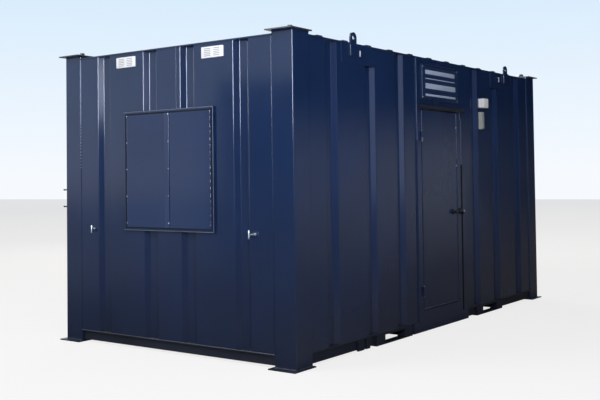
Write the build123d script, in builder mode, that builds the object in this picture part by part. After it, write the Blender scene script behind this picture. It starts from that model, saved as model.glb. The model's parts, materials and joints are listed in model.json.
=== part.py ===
from build123d import *
import os

# A portable site cabin, 16 ft by 9 ft: a welded steel frame on four corner posts, fluted
# steel walls, a ribbed steel roof, one outward-opening steel door in the long front wall,
# and a window behind a pair of steel shutters in each end wall.
#
# Frame: X along the length, the front (door) wall faces -Y, +Z is up. The origin is at
# ground level under the middle of the cabin. Everything is in millimetres.

os.makedirs("parts", exist_ok=True)

# ---------------------------------------------------------------- driving dimensions
# Overall frame
cabin_length = 4880.0          # over the outer faces of the posts, along X
cabin_width = 2740.0           # over the outer faces of the posts, along Y
post_height = 2674.0           # between the foot plate and the top plate
post_size = 218.0
post_wall = 5.0
post_corner_radius = 9.0

# Plates at the feet and heads of the posts
plate_thickness = 10.0
plate_end_overhang = 58.0      # past the end wall
plate_side_overhang = 28.0     # past the long wall
plate_inner_end_overhang = 4.0
plate_inner_side_overhang = 22.0
cone_base_diameter = 72.0
cone_top_diameter = 40.0
cone_height = 38.0
socket_clearance = 4.0         # of the hole in a foot plate over the cone it takes

# Base frame
rail_bottom = 20.0
rail_height = 80.0
rail_depth = 60.0
rail_setback = 24.0            # behind the posts' outer faces
sill_thickness = 10.0          # flat bar that the walls stand on
sill_proud = 3.0               # in front of the wall's flats
joist_width = 50.0
joist_from_pocket = 60.0       # joist centre, past the edge of a fork pocket
lug_thickness = 20.0
lug_widths = (96.0, 62.0)
lug_gap = 31.0
lug_from_end = 885.0
lug_bottom = 10.0

# Fork pockets under each long side
pocket_first = 1498.0          # centre of the first pocket, from the left end
pocket_spacing = 2030.0
pocket_opening = 345.0
pocket_cheek = 148.0           # block on either side of the opening
pocket_depth = 82.0            # across the cabin
pocket_setback = 2.0
pocket_strap = 10.0            # flat under the opening
pocket_strap_bottom = 6.0
pocket_head = 12.0             # flat over the opening

# Floor
floor_thickness = 105.0

# Walls: fluted steel outside, a filled core and a flat lined inner face
wall_thickness = 85.0
wall_below_post = 33.0         # top of the walls, below the top of the posts
front_flats_setback = 10.0     # the long walls' flats lie behind the posts' faces
end_flats_setback = 1.0
flute_width = 163.0            # at the surface
flute_floor = 84.0             # at the bottom of the groove
flute_depth = 39.0
flute_bend_radius = 12.0        # of the rolled bends
flute_from_end = 540.0         # first flute centre, from the outer face of the post
flute_pitch = 603.0
door_flute_pitch = 505.0       # the narrower sheet beside the door

# Door unit
door_frame_left = 1950.0       # from the cabin's left end
door_frame_width = 940.0
door_leaf_from_frame = 93.0    # left edge of the leaf, from the frame's left edge
door_leaf_width = 738.0
door_leaf_thickness = 45.0
door_leaf_over_floor = 3.0
door_leaf_height = 1932.0
door_gap = 8.0
door_stop = 12.0               # how far the stop laps behind the leaf
door_stop_clearance = 6.0
door_head_height = 60.0
apron_side_lap = 105.0         # how far the apron runs past the frame on each side
apron_bottom = 10.0
apron_thickness = 20.0
hinge_barrel_diameter = 18.0
hinge_pin_diameter = 10.0
hinge_length = 100.0
hinge_play = 1.0               # between the two halves of a barrel
hinge_standoff = 11.0          # barrel axis in front of the leaf's face
hinge_rises = (177.0, 1677.0)  # barrel centres, over the leaf's bottom
hinge_from_leaf = 16.0         # barrel axis beside the leaf's edge
hinge_leaf_width = 34.0
hinge_leaf_thickness = 5.0
hinge_packing = 3.0            # under the half that is fixed to the leaf
hinge_pin_clearance = 0.4
drip_rail_inset = 18.0         # from the frame's left edge
drip_rail_overrun = 30.0       # past the frame's right edge
drip_rail_height = 32.0
drip_rail_depth = 36.0
drip_rail_clearance = 12.0     # above the leaf

# Door lock
lock_rise = 918.0              # lock's middle, over the leaf's bottom
knob_from_edge = 90.0          # knob centre, from the leaf's free edge
knob_diameter = 46.0
rose_diameter = 62.0
rose_thickness = 8.0
knob_reach = 42.0
knob_grip = 18.0               # thickness of the part that is held
bar_diameter = 14.0
bar_reach = 24.0               # bar axis in front of the leaf
guide_width = 22.0             # block that carries the bar
guide_height = 28.0
guide_cover = 5.0              # metal of the guide in front of the bar
keep_diameter = 62.0
keep_reach = 34.0
cylinder_diameter = 26.0       # lock cylinder in the middle of the keep
cylinder_reach = 6.0
keep_from_leaf = 84.0          # keep centre, past the leaf's free edge
lock_clearance = 6.0           # between the bar's ends and what is beside them

# Sign over the door
sign_from_leaf = 0.0           # left edge, from the leaf's left edge
sign_width = 772.0
sign_over_leaf = 102.0         # lower edge, over the leaf's top
sign_height = 347.0
sign_thickness = 12.0

# Windows in the end walls, behind steel shutters
shutter_width = 1084.0
shutter_bottom = 1057.0
shutter_height = 1060.0
shutter_frame_face = 19.0
shutter_frame_depth = 22.0
shutter_leaf_thickness = 12.0
shutter_leaf_setback = 4.0     # behind the surround's front edge
shutter_edge_gap = 12.0        # between a leaf and the surround
shutter_gap = 4.0              # between the two leaves
cover_strip_width = 56.0
cover_strip_lap = 24.0         # part of the strip on the front side of the gap
cover_strip_thickness = 5.0
window_margin = 75.0           # wall opening inside the shutter surround
window_frame_face = 55.0
window_frame_depth = 60.0
glass_thickness = 24.0

# Small fittings
vent_width = 243.0
vent_height = 94.0
vent_thickness = 14.0
vent_top_gap = 31.0            # below the top of the wall
vent_from_middle = 526.0       # vent centres, from the wall's middle
catch_from_post = 181.0
catch_height = 1056.0
catch_lean = 25.0              # the bar stands nearer the wall's middle than its base does
catch_base = (70.0, 44.0, 5.0)     # width, height and reach of the base plate
catch_arm = (16.0, 16.0, 42.0)     # the arm out of it
catch_bar = (16.0, 74.0, 14.0)     # the bar across the arm
peg_diameter = 16.0
peg_reach = 60.0
peg_from_edge = 18.0           # peg axis, from the post's outer edge
peg_heights = (1420.0, 1260.0)
supply_box_left = 3345.0
supply_box_size = (125.0, 60.0, 102.0)
supply_box_bottom = 2238.0
inlet_left = 3342.0
inlet_size = (78.0, 34.0, 188.0)
inlet_bottom = 2006.0

# Roof
roof_deck_thickness = 95.0
roof_sheet_thickness = 4.0
rib_pitch = 377.0
rib_first = 420.0              # first rib centre, from the left end
rib_count = 11
rib_base = 130.0
rib_crest = 70.0
rib_height = 18.0
rib_end_setback = 30.0         # the ribs stop short of the sheet's edge
edge_height = 14.0             # flashing and sheet together, over the walls
edge_proud = 8.0               # the flashing in front of the walls' flats

# Lifting gear on the long walls
eye_from_end = 852.0
eye_width = 94.0
eye_hole_diameter = 40.0
eye_thickness = 15.0
eye_rise = 104.0               # top of an eye, over the walls
eye_drop = 100.0               # foot of an eye, below the top of the walls
eye_pad_width = 80.0
eye_pad_height = 54.0
eye_pad_offset = 162.0         # pad centre, from the eye's centre
lift_plate_outer = 692.0       # plate edges, from the cabin's end
lift_plate_inner = 1222.0
lift_plate_height = 161.0
lift_plate_thickness = 8.0

# ---------------------------------------------------------------- derived places
long_sides = ("front", "back")
end_sides = ("left", "right")
half_length = cabin_length / 2
half_width = cabin_width / 2
post_bottom = plate_thickness
post_top = post_bottom + post_height
rail_top = rail_bottom + rail_height
sill_top = rail_top + sill_thickness
wall_bottom = sill_top
wall_top = post_top - wall_below_post
wall_height = wall_top - wall_bottom
floor_top = sill_top + floor_thickness
roof_level = wall_top + edge_height - roof_sheet_thickness
inside_length = cabin_length - 2 * wall_thickness
inside_width = cabin_width - 2 * wall_thickness
wall_lengths = {"front": cabin_length, "back": cabin_length, "left": cabin_width, "right": cabin_width}
flats_setbacks = {"front": front_flats_setback, "back": front_flats_setback,
                  "left": end_flats_setback, "right": end_flats_setback}

door_frame_right = door_frame_left + door_frame_width
door_leaf_left = door_frame_left + door_leaf_from_frame
door_leaf_right = door_leaf_left + door_leaf_width
door_leaf_bottom = floor_top + door_leaf_over_floor
door_leaf_top = door_leaf_bottom + door_leaf_height
door_opening_left = door_leaf_left - door_gap
door_opening_right = door_leaf_right + door_gap
door_opening_top = door_leaf_top + door_gap


def from_left(distance):
    """X of a place measured from the cabin's left end."""
    return distance - half_length


def wall_plane(side, level):
    """Plane at a height, with x along a wall's outer face and y inwards."""
    places = {
        "front": ((-half_length, -half_width, level), (1, 0, 0)),
        "back": ((half_length, half_width, level), (-1, 0, 0)),
        "left": ((-half_length, half_width, level), (0, -1, 0)),
        "right": ((half_length, -half_width, level), (0, 1, 0)),
    }
    origin, along = places[side]
    return Plane(origin=origin, x_dir=along, z_dir=(0, 0, 1))


def along(side, start, end):
    """Range along a wall's plane between two distances from the cabin's left or front end."""
    if side in ("back", "left"):
        return wall_lengths[side] - end, wall_lengths[side] - start
    return start, end


def block(x, y, z, mode=Mode.ADD):
    """Add a rectangular block over the ranges x, y and z to the part in hand."""
    slab(Plane.XY.offset(z[0]), x, y, z[1] - z[0], mode)


def slab(plane, x, y, height, mode=Mode.ADD):
    """Add a slab over the ranges x and y of a plane."""
    with BuildSketch(plane) as outline:
        with Locations(((x[0] + x[1]) / 2, (y[0] + y[1]) / 2)):
            Rectangle(x[1] - x[0], y[1] - y[0])
    extrude(outline.sketch, amount=height, mode=mode)


def save(builder, name):
    """Label a finished piece and write its STEP file."""
    builder.part.label = name
    export_step(builder.part, f"parts/{name}.step")


def flute_centres(side):
    """Flute centres along a wall, mirrored about its middle."""
    near = [flute_from_end, flute_from_end + flute_pitch]
    if side in long_sides:
        near.append(near[-1] + door_flute_pitch)
    return near + [wall_lengths[side] - place for place in reversed(near)]


def fluted_wall(side, start, end):
    """Add a wall panel, fluted outside and flat inside, from start to end along a side."""
    setback = flats_setbacks[side]
    corners = [(start, wall_thickness), (start, setback)]
    slope = (flute_width - flute_floor) / 2
    for centre in flute_centres(side):
        left = centre - flute_width / 2
        right = centre + flute_width / 2
        if left > start and right < end:
            corners += [
                (left, setback),
                (left + slope, setback + flute_depth),
                (right - slope, setback + flute_depth),
                (right, setback),
            ]
    corners += [(end, setback), (end, wall_thickness)]
    with BuildSketch(wall_plane(side, wall_bottom)) as outline:
        with BuildLine():
            Polyline(corners, close=True)
        make_face()
        bends = outline.vertices().filter_by_position(Axis.X, start, end, inclusive=(False, False))
        fillet(bends, radius=flute_bend_radius)
    extrude(outline.sketch, amount=wall_height)


# ---------------------------------------------------------------- posts and plates
post_centres = [
    (sx * (half_length - post_size / 2), sy * (half_width - post_size / 2))
    for sx in (-1, 1) for sy in (-1, 1)
]

with BuildPart() as corner_posts:
    with BuildSketch(Plane.XY.offset(post_bottom)):
        with Locations(post_centres):
            RectangleRounded(post_size, post_size, post_corner_radius)
            Rectangle(post_size - 2 * post_wall, post_size - 2 * post_wall, mode=Mode.SUBTRACT)
    extrude(amount=post_height)
save(corner_posts, "corner_posts")


def corner_plates(level):
    """Add the four square plates at one level."""
    outer_x = half_length + plate_end_overhang
    inner_x = half_length - post_size - plate_inner_end_overhang
    outer_y = half_width + plate_side_overhang
    inner_y = half_width - post_size - plate_inner_side_overhang
    for sx in (-1, 1):
        for sy in (-1, 1):
            x = sorted((sx * inner_x, sx * outer_x))
            y = sorted((sy * inner_y, sy * outer_y))
            block(x, y, (level, level + plate_thickness))


# A hole in each foot plate takes the cone of a cabin below.
with BuildPart() as foot_plates:
    corner_plates(0)
    with BuildSketch():
        with Locations(post_centres):
            Circle((cone_base_diameter + socket_clearance) / 2)
    extrude(amount=plate_thickness, mode=Mode.SUBTRACT)
save(foot_plates, "foot_plates")

with BuildPart() as top_plates:
    corner_plates(post_top)
save(top_plates, "top_plates")

with BuildPart() as stacking_cones:
    for centre in post_centres:
        with BuildSketch(Plane.XY.offset(post_top + plate_thickness)):
            with Locations(centre):
                Circle(cone_base_diameter / 2)
        with BuildSketch(Plane.XY.offset(post_top + plate_thickness + cone_height)):
            with Locations(centre):
                Circle(cone_top_diameter / 2)
        loft()
save(stacking_cones, "stacking_cones")

# ---------------------------------------------------------------- base frame
pocket_centres = [pocket_first, pocket_first + pocket_spacing]
pocket_reach = pocket_opening / 2 + pocket_cheek
rail_z = (rail_bottom, rail_top)


def side_rail(side):
    """Add the lengths of base rail between the posts and the fork pockets."""
    stops = [post_size]
    for centre in pocket_centres:
        stops += [centre - pocket_reach, centre + pocket_reach]
    stops.append(cabin_length - post_size)
    for start, end in zip(stops[0::2], stops[1::2]):
        slab(wall_plane(side, rail_bottom), along(side, start, end),
             (rail_setback, rail_setback + rail_depth), rail_height)


def fork_pocket_frames(side):
    """Add the two fork pockets of one long side: cheeks, head and strap round an opening."""
    for centre in pocket_centres:
        y = (pocket_setback, pocket_setback + pocket_depth)
        slab(wall_plane(side, pocket_strap_bottom),
             along(side, centre - pocket_reach, centre + pocket_reach),
             y, rail_top - pocket_strap_bottom)
        slab(wall_plane(side, pocket_strap_bottom + pocket_strap),
             along(side, centre - pocket_opening / 2, centre + pocket_opening / 2), y,
             rail_top - pocket_head - pocket_strap_bottom - pocket_strap, Mode.SUBTRACT)


with BuildPart() as base_side_rails:
    for side in long_sides:
        side_rail(side)
save(base_side_rails, "base_side_rails")

with BuildPart() as fork_pockets:
    for side in long_sides:
        fork_pocket_frames(side)
save(fork_pockets, "fork_pockets")

with BuildPart() as base_end_rails:
    for side in end_sides:
        slab(wall_plane(side, rail_bottom), (post_size, cabin_width - post_size),
             (rail_setback, rail_setback + rail_depth), rail_height)
save(base_end_rails, "base_end_rails")

# Joists cross under the floor beside each fork pocket and half way between the others.
beside_pocket = pocket_opening / 2 + joist_from_pocket
joist_places = [centre + shift for centre in pocket_centres for shift in (-beside_pocket, beside_pocket)]
joist_places += [(post_size + joist_places[0]) / 2, sum(pocket_centres) / 2,
                 (joist_places[-1] + cabin_length - post_size) / 2]
joist_reach = half_width - rail_setback - rail_depth

with BuildPart() as floor_joists:
    for place in joist_places:
        block((from_left(place - joist_width / 2), from_left(place + joist_width / 2)),
              (-joist_reach, joist_reach), rail_z)
save(floor_joists, "floor_joists")

with BuildPart() as base_lugs:
    for side in long_sides:
        start = lug_from_end
        for width in lug_widths:
            slab(wall_plane(side, lug_bottom), along(side, start, start + width),
                 (rail_setback - lug_thickness, rail_setback), rail_top - lug_bottom)
            start += width + lug_gap
save(base_lugs, "base_lugs")

with BuildPart() as sill_bars:
    for side, length in wall_lengths.items():
        runs = [(post_size, length - post_size)]
        if side == "front":
            runs = [(post_size, door_frame_left - apron_side_lap),
                    (door_frame_right + apron_side_lap, length - post_size)]
        for run in runs:
            slab(wall_plane(side, rail_top), run,
                 (flats_setbacks[side] - sill_proud, wall_thickness), sill_thickness)
save(sill_bars, "sill_bars")


def room_slab(level, thickness):
    """Add a slab that fills the room from lining to lining at one level, cut round the posts."""
    slab(Plane.XY.offset(level), (-inside_length / 2, inside_length / 2),
         (-inside_width / 2, inside_width / 2), thickness)
    for x, y in post_centres:
        reach = post_size / 2
        block((x - reach, x + reach), (y - reach, y + reach), (level, level + thickness), Mode.SUBTRACT)


with BuildPart() as floor_panel:
    room_slab(rail_top, floor_top - rail_top)
save(floor_panel, "floor_panel")

# ---------------------------------------------------------------- walls
shutter_centre = cabin_width / 2
shutter_left = shutter_centre - shutter_width / 2
shutter_right = shutter_centre + shutter_width / 2
window_left = shutter_left + window_margin
window_right = shutter_right - window_margin
window_bottom = shutter_bottom + window_margin
window_height = shutter_height - 2 * window_margin

for side in end_sides:
    with BuildPart() as end_wall:
        fluted_wall(side, post_size, cabin_width - post_size)
        slab(wall_plane(side, window_bottom), along(side, window_left, window_right),
             (0, wall_thickness), window_height, Mode.SUBTRACT)
    save(end_wall, f"{side}_end_wall")

with BuildPart() as back_wall:
    fluted_wall("back", post_size, cabin_length - post_size)
save(back_wall, "back_wall")

with BuildPart() as front_wall_left:
    fluted_wall("front", post_size, door_frame_left)
save(front_wall_left, "front_wall_left")

with BuildPart() as front_wall_right:
    fluted_wall("front", door_frame_right, cabin_length - post_size)
save(front_wall_right, "front_wall_right")

# ---------------------------------------------------------------- door unit
jamb_runs = ((door_frame_left, door_opening_left), (door_opening_right, door_frame_right))
opening_run = (door_opening_left, door_opening_right)
door_y = (0, wall_thickness)

with BuildPart() as door_jambs:
    for run in jamb_runs:
        slab(wall_plane("front", wall_bottom), run, door_y, wall_height)
save(door_jambs, "door_jambs")

with BuildPart() as door_sill:
    slab(wall_plane("front", wall_bottom), opening_run, door_y,
         door_leaf_bottom - door_gap - wall_bottom)
save(door_sill, "door_sill")

with BuildPart() as door_head:
    slab(wall_plane("front", door_opening_top), opening_run, door_y, door_head_height)
save(door_head, "door_head")

with BuildPart() as over_door_panel:
    over_door_bottom = door_opening_top + door_head_height
    slab(wall_plane("front", over_door_bottom), opening_run, door_y, wall_top - over_door_bottom)
save(over_door_panel, "over_door_panel")

# The stops stand behind the leaf's edges, up both jambs and along the head.
stop_y = (door_leaf_thickness + door_stop_clearance, wall_thickness)
stop_lap = door_gap + door_stop

with BuildPart() as door_stops:
    for run in ((door_opening_left, door_opening_left + stop_lap),
                (door_opening_right - stop_lap, door_opening_right)):
        slab(wall_plane("front", door_leaf_bottom - door_gap), run, stop_y,
             door_opening_top - door_leaf_bottom + door_gap)
    slab(wall_plane("front", door_opening_top - stop_lap), opening_run, stop_y, stop_lap)
save(door_stops, "door_stops")

with BuildPart() as door_apron:
    slab(wall_plane("front", apron_bottom),
         (door_frame_left - apron_side_lap, door_frame_right + apron_side_lap),
         (0, apron_thickness), wall_bottom - apron_bottom)
save(door_apron, "door_apron")

with BuildPart() as door_leaf:
    slab(wall_plane("front", door_leaf_bottom),
         (door_leaf_left, door_leaf_right), (0, door_leaf_thickness), door_leaf_height)
save(door_leaf, "door_leaf")

with BuildPart() as drip_rail:
    slab(wall_plane("front", door_leaf_top + drip_rail_clearance),
         (door_frame_left + drip_rail_inset, door_frame_right + drip_rail_overrun),
         (-drip_rail_depth, 0), drip_rail_height)
save(drip_rail, "drip_rail")

# Hinges: the lower half of each barrel and its pin stay on the frame, the upper half
# turns with the leaf.
hinge_x = door_leaf_left - hinge_from_leaf
hinge_axis_y = -hinge_standoff
hinge_heights = [door_leaf_bottom + rise for rise in hinge_rises]
half_barrel = (hinge_length - hinge_play) / 2

with BuildPart() as frame_hinges:
    for height in hinge_heights:
        bottom = height - hinge_length / 2
        with BuildSketch(wall_plane("front", bottom)):
            with Locations((hinge_x, hinge_axis_y)):
                Circle(hinge_barrel_diameter / 2)
        extrude(amount=half_barrel)
        with BuildSketch(wall_plane("front", bottom)):
            with Locations((hinge_x, hinge_axis_y)):
                Circle(hinge_pin_diameter / 2)
        extrude(amount=hinge_length)
        slab(wall_plane("front", bottom), (hinge_x - hinge_leaf_width, hinge_x),
             (-hinge_leaf_thickness, 0), half_barrel)
save(frame_hinges, "frame_hinges")

with BuildPart() as leaf_hinges:
    for height in hinge_heights:
        bottom = height + hinge_length / 2 - half_barrel
        leaf_end = door_leaf_left + hinge_leaf_width
        slab(wall_plane("front", bottom), (hinge_x, leaf_end),
             (-hinge_leaf_thickness - hinge_packing, -hinge_packing), half_barrel)
        slab(wall_plane("front", bottom), (door_leaf_left, leaf_end), (-hinge_packing, 0), half_barrel)
        with BuildSketch(wall_plane("front", bottom)):
            with Locations((hinge_x, hinge_axis_y)):
                Circle(hinge_barrel_diameter / 2)
        extrude(amount=half_barrel)
        with BuildSketch(wall_plane("front", bottom)):
            with Locations((hinge_x, hinge_axis_y)):
                Circle(hinge_pin_diameter / 2 + hinge_pin_clearance)
        extrude(amount=half_barrel, mode=Mode.SUBTRACT)
save(leaf_hinges, "leaf_hinges")

# Lock: a round knob and a sliding bar on the leaf, and a ring keep on the frame.
lock_height = door_leaf_bottom + lock_rise
knob_x = door_leaf_right - knob_from_edge
keep_x = door_leaf_right + keep_from_leaf


def front_round(x, z, diameter, start, reach):
    """Add a round boss standing out of the front wall, from start to reach in front of it."""
    face = Plane(origin=(from_left(x), -half_width - start, z), x_dir=(1, 0, 0), z_dir=(0, -1, 0))
    with BuildSketch(face) as outline:
        Circle(diameter / 2)
    extrude(outline.sketch, amount=reach - start)


with BuildPart() as door_knob:
    front_round(knob_x, lock_height, rose_diameter, 0, rose_thickness)
    front_round(knob_x, lock_height, knob_diameter / 2, rose_thickness, knob_reach - knob_grip)
    front_round(knob_x, lock_height, knob_diameter, knob_reach - knob_grip, knob_reach)
save(door_knob, "door_knob")

with BuildPart() as lock_keep:
    front_round(keep_x, lock_height, keep_diameter, 0, keep_reach)
    front_round(keep_x, lock_height, cylinder_diameter, keep_reach, keep_reach + cylinder_reach)
save(lock_keep, "lock_keep")

with BuildPart() as lock_bar:
    start = knob_x + rose_diameter / 2 + lock_clearance
    end = keep_x - keep_diameter / 2 - lock_clearance
    across = Plane(origin=(from_left(start), -half_width - bar_reach, lock_height),
                   x_dir=(0, 1, 0), z_dir=(1, 0, 0))
    with BuildSketch(across):
        Circle(bar_diameter / 2)
    extrude(amount=end - start)
    slab(wall_plane("front", lock_height - guide_height / 2), (start, start + guide_width),
         (-bar_reach - bar_diameter / 2 - guide_cover, 0), guide_height)
save(lock_bar, "lock_bar")

# Sign plate over the door
with BuildPart() as sign_plate:
    sign_left = door_leaf_left + sign_from_leaf
    slab(wall_plane("front", door_leaf_top + sign_over_leaf), (sign_left, sign_left + sign_width),
         (-sign_thickness, 0), sign_height)
save(sign_plate, "sign_plate")

# ---------------------------------------------------------------- end windows
shutter_front = end_flats_setback - shutter_frame_depth

with BuildPart() as shutter_frames:
    for side in end_sides:
        slab(wall_plane(side, shutter_bottom), along(side, shutter_left, shutter_right),
             (shutter_front, end_flats_setback), shutter_height)
        slab(wall_plane(side, shutter_bottom + shutter_frame_face),
             along(side, shutter_left + shutter_frame_face, shutter_right - shutter_frame_face),
             (shutter_front, end_flats_setback), shutter_height - 2 * shutter_frame_face,
             Mode.SUBTRACT)
save(shutter_frames, "shutter_frames")

leaf_inset = shutter_frame_face + shutter_edge_gap
leaf_front = shutter_front + shutter_leaf_setback

with BuildPart() as shutter_leaves:
    for side in end_sides:
        for start, end in ((shutter_left + leaf_inset, shutter_centre - shutter_gap / 2),
                           (shutter_centre + shutter_gap / 2, shutter_right - leaf_inset)):
            slab(wall_plane(side, shutter_bottom + leaf_inset), along(side, start, end),
                 (leaf_front, leaf_front + shutter_leaf_thickness),
                 shutter_height - 2 * leaf_inset)
save(shutter_leaves, "shutter_leaves")

with BuildPart() as cover_strips:
    for side in end_sides:
        slab(wall_plane(side, shutter_bottom + leaf_inset),
             along(side, shutter_centre - cover_strip_lap,
                       shutter_centre - cover_strip_lap + cover_strip_width),
             (leaf_front - cover_strip_thickness, leaf_front), shutter_height - 2 * leaf_inset)
save(cover_strips, "cover_strips")

frame_start = wall_thickness - window_frame_depth

with BuildPart() as window_frames:
    for side in end_sides:
        slab(wall_plane(side, window_bottom), along(side, window_left, window_right),
             (frame_start, wall_thickness), window_height)
        slab(wall_plane(side, window_bottom + window_frame_face),
             along(side, window_left + window_frame_face, window_right - window_frame_face),
             (frame_start, wall_thickness), window_height - 2 * window_frame_face,
             Mode.SUBTRACT)
save(window_frames, "window_frames")

with BuildPart() as window_glass:
    for side in end_sides:
        middle = frame_start + window_frame_depth / 2
        slab(wall_plane(side, window_bottom + window_frame_face),
             along(side, window_left + window_frame_face, window_right - window_frame_face),
             (middle - glass_thickness / 2, middle + glass_thickness / 2),
             window_height - 2 * window_frame_face)
save(window_glass, "window_glass")

# ---------------------------------------------------------------- small fittings
with BuildPart() as vent_grilles:
    for side in end_sides:
        for centre in (cabin_width / 2 - vent_from_middle, cabin_width / 2 + vent_from_middle):
            slab(wall_plane(side, wall_top - vent_top_gap - vent_height),
                 along(side, centre - vent_width / 2, centre + vent_width / 2),
                 (end_flats_setback - vent_thickness, end_flats_setback), vent_height)
save(vent_grilles, "vent_grilles")

with BuildPart() as shutter_catches:
    for side in end_sides:
        for centre, lean in ((post_size + catch_from_post, catch_lean),
                             (cabin_width - post_size - catch_from_post, -catch_lean)):
            base_face = end_flats_setback - catch_base[2]
            bar_back = base_face - catch_arm[2]
            for place, size, face in ((centre, catch_base, end_flats_setback),
                                      (centre + lean, catch_bar, bar_back)):
                slab(wall_plane(side, catch_height - size[1] / 2),
                     along(side, place - size[0] / 2, place + size[0] / 2),
                     (face - size[2], face), size[1])
            foot = along(side, centre - catch_arm[0] / 2, centre + catch_arm[0] / 2)
            tip = along(side, centre + lean - catch_arm[0] / 2, centre + lean + catch_arm[0] / 2)
            with BuildSketch(wall_plane(side, catch_height - catch_arm[1] / 2)) as arm:
                with BuildLine():
                    Polyline((foot[0], base_face), (foot[1], base_face),
                             (tip[1], bar_back), (tip[0], bar_back), close=True)
                make_face()
            extrude(arm.sketch, amount=catch_arm[1])
save(shutter_catches, "shutter_catches")

# Two pegs on the rear face of the left back post
with BuildPart() as post_pegs:
    for height in peg_heights:
        face = Plane(origin=(from_left(peg_from_edge), half_width, height), x_dir=(-1, 0, 0), z_dir=(0, 1, 0))
        with BuildSketch(face):
            Circle(peg_diameter / 2)
        extrude(amount=peg_reach)
save(post_pegs, "post_pegs")

with BuildPart() as supply_box:
    width, depth, height = supply_box_size
    slab(wall_plane("front", supply_box_bottom), (supply_box_left, supply_box_left + width),
         (front_flats_setback - depth, front_flats_setback), height)
save(supply_box, "supply_box")

with BuildPart() as inlet_box:
    width, depth, height = inlet_size
    slab(wall_plane("front", inlet_bottom), (inlet_left, inlet_left + width),
         (front_flats_setback - depth, front_flats_setback), height)
save(inlet_box, "inlet_box")

# ---------------------------------------------------------------- roof
with BuildPart() as roof_deck:
    room_slab(wall_top - roof_deck_thickness, roof_deck_thickness)
save(roof_deck, "roof_deck")

with BuildPart() as roof_edge:
    for side, length in wall_lengths.items():
        slab(wall_plane(side, wall_top), (post_size, length - post_size),
             (flats_setbacks[side] - edge_proud, wall_thickness), edge_height - roof_sheet_thickness)
save(roof_edge, "roof_edge")

with BuildPart() as roof_sheet:
    sheet_x = half_length - end_flats_setback
    sheet_y = half_width - front_flats_setback
    block((-sheet_x, sheet_x), (-sheet_y, sheet_y), (roof_level, roof_level + roof_sheet_thickness))
    rib_plane = Plane(origin=(0, sheet_y - rib_end_setback, roof_level + roof_sheet_thickness),
                      x_dir=(1, 0, 0), z_dir=(0, -1, 0))
    with BuildSketch(rib_plane):
        for number in range(rib_count):
            with BuildLine():
                centre = from_left(rib_first + number * rib_pitch)
                Polyline([
                    (centre - rib_base / 2, 0),
                    (centre - rib_crest / 2, rib_height),
                    (centre + rib_crest / 2, rib_height),
                    (centre + rib_base / 2, 0),
                ], close=True)
            make_face()
    extrude(amount=2 * (sheet_y - rib_end_setback))
    for x, y in post_centres:
        reach = post_size / 2
        block((x - reach, x + reach), (y - reach, y + reach), (roof_level, post_top), Mode.SUBTRACT)
save(roof_sheet, "roof_sheet")

# ---------------------------------------------------------------- lifting gear
eye_back = front_flats_setback - lift_plate_thickness

with BuildPart() as lifting_plates:
    for side in long_sides:
        for start, end in ((lift_plate_outer, lift_plate_inner),
                           (cabin_length - lift_plate_inner, cabin_length - lift_plate_outer)):
            slab(wall_plane(side, wall_top - lift_plate_height), (start, end),
                 (eye_back, front_flats_setback), lift_plate_height)
save(lifting_plates, "lifting_plates")

with BuildPart() as lifting_eyes:
    for side in long_sides:
        for place, inwards in ((eye_from_end, 1), (cabin_length - eye_from_end, -1)):
            base = wall_plane(side, wall_top - eye_drop)
            face = Plane(origin=base.from_local_coords((place, eye_back, 0)),
                         x_dir=base.x_dir, z_dir=-base.y_dir)
            crown = eye_drop + eye_rise - eye_width / 2
            with BuildSketch(face):
                with Locations((0, crown / 2)):
                    Rectangle(eye_width, crown)
                with Locations((0, crown)):
                    Circle(eye_width / 2)
                    Circle(eye_hole_diameter / 2, mode=Mode.SUBTRACT)
            extrude(amount=eye_thickness)
            pad = place + inwards * eye_pad_offset
            slab(base, (pad - eye_pad_width / 2, pad + eye_pad_width / 2),
                 (eye_back - eye_thickness, eye_back), eye_pad_height)
save(lifting_eyes, "lifting_eyes")
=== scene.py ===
"""Finishes and fittings of a portable site cabin, built around its fixed frame.

Places are in metres. A place on a wall is given as side, across, out and height: across runs along
the wall from the cabin's left end (long walls) or from its front (end walls), out is the distance
in front of the corner posts' faces, and height is above the ground. Radii, roundings, corners,
rims and turned profiles are in millimetres.
"""

import functools
import json
import math
import random

import bmesh
import bpy
from mathutils import Matrix, Vector


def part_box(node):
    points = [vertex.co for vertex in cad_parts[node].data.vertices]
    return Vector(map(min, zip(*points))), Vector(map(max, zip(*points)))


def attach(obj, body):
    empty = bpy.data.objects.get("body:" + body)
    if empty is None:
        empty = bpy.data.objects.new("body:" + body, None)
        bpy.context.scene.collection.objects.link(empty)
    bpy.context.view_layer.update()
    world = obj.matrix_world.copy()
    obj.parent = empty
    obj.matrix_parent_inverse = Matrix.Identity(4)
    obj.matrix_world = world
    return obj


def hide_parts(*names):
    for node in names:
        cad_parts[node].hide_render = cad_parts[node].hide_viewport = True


bl_info = {
    "name": "Portable Site Cabin",
    "version": (1, 0, 0),
    "blender": (4, 5, 0),
    "location": "3D View > Sidebar > Cabin",
    "description": "Finishes and fittings of a steel site cabin, built around its fixed frame",
    "category": "Add Mesh",
}

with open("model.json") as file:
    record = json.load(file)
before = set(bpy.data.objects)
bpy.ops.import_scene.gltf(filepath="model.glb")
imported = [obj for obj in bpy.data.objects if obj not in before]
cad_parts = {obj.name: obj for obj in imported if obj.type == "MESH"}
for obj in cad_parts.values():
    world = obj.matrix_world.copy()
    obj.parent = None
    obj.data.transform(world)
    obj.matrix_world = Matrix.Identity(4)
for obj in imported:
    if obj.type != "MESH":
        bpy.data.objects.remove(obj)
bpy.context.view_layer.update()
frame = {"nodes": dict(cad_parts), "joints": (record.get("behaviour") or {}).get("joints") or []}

MM = 0.001
LONG_SIDES = ("front", "back")
END_SIDES = ("left", "right")

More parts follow.
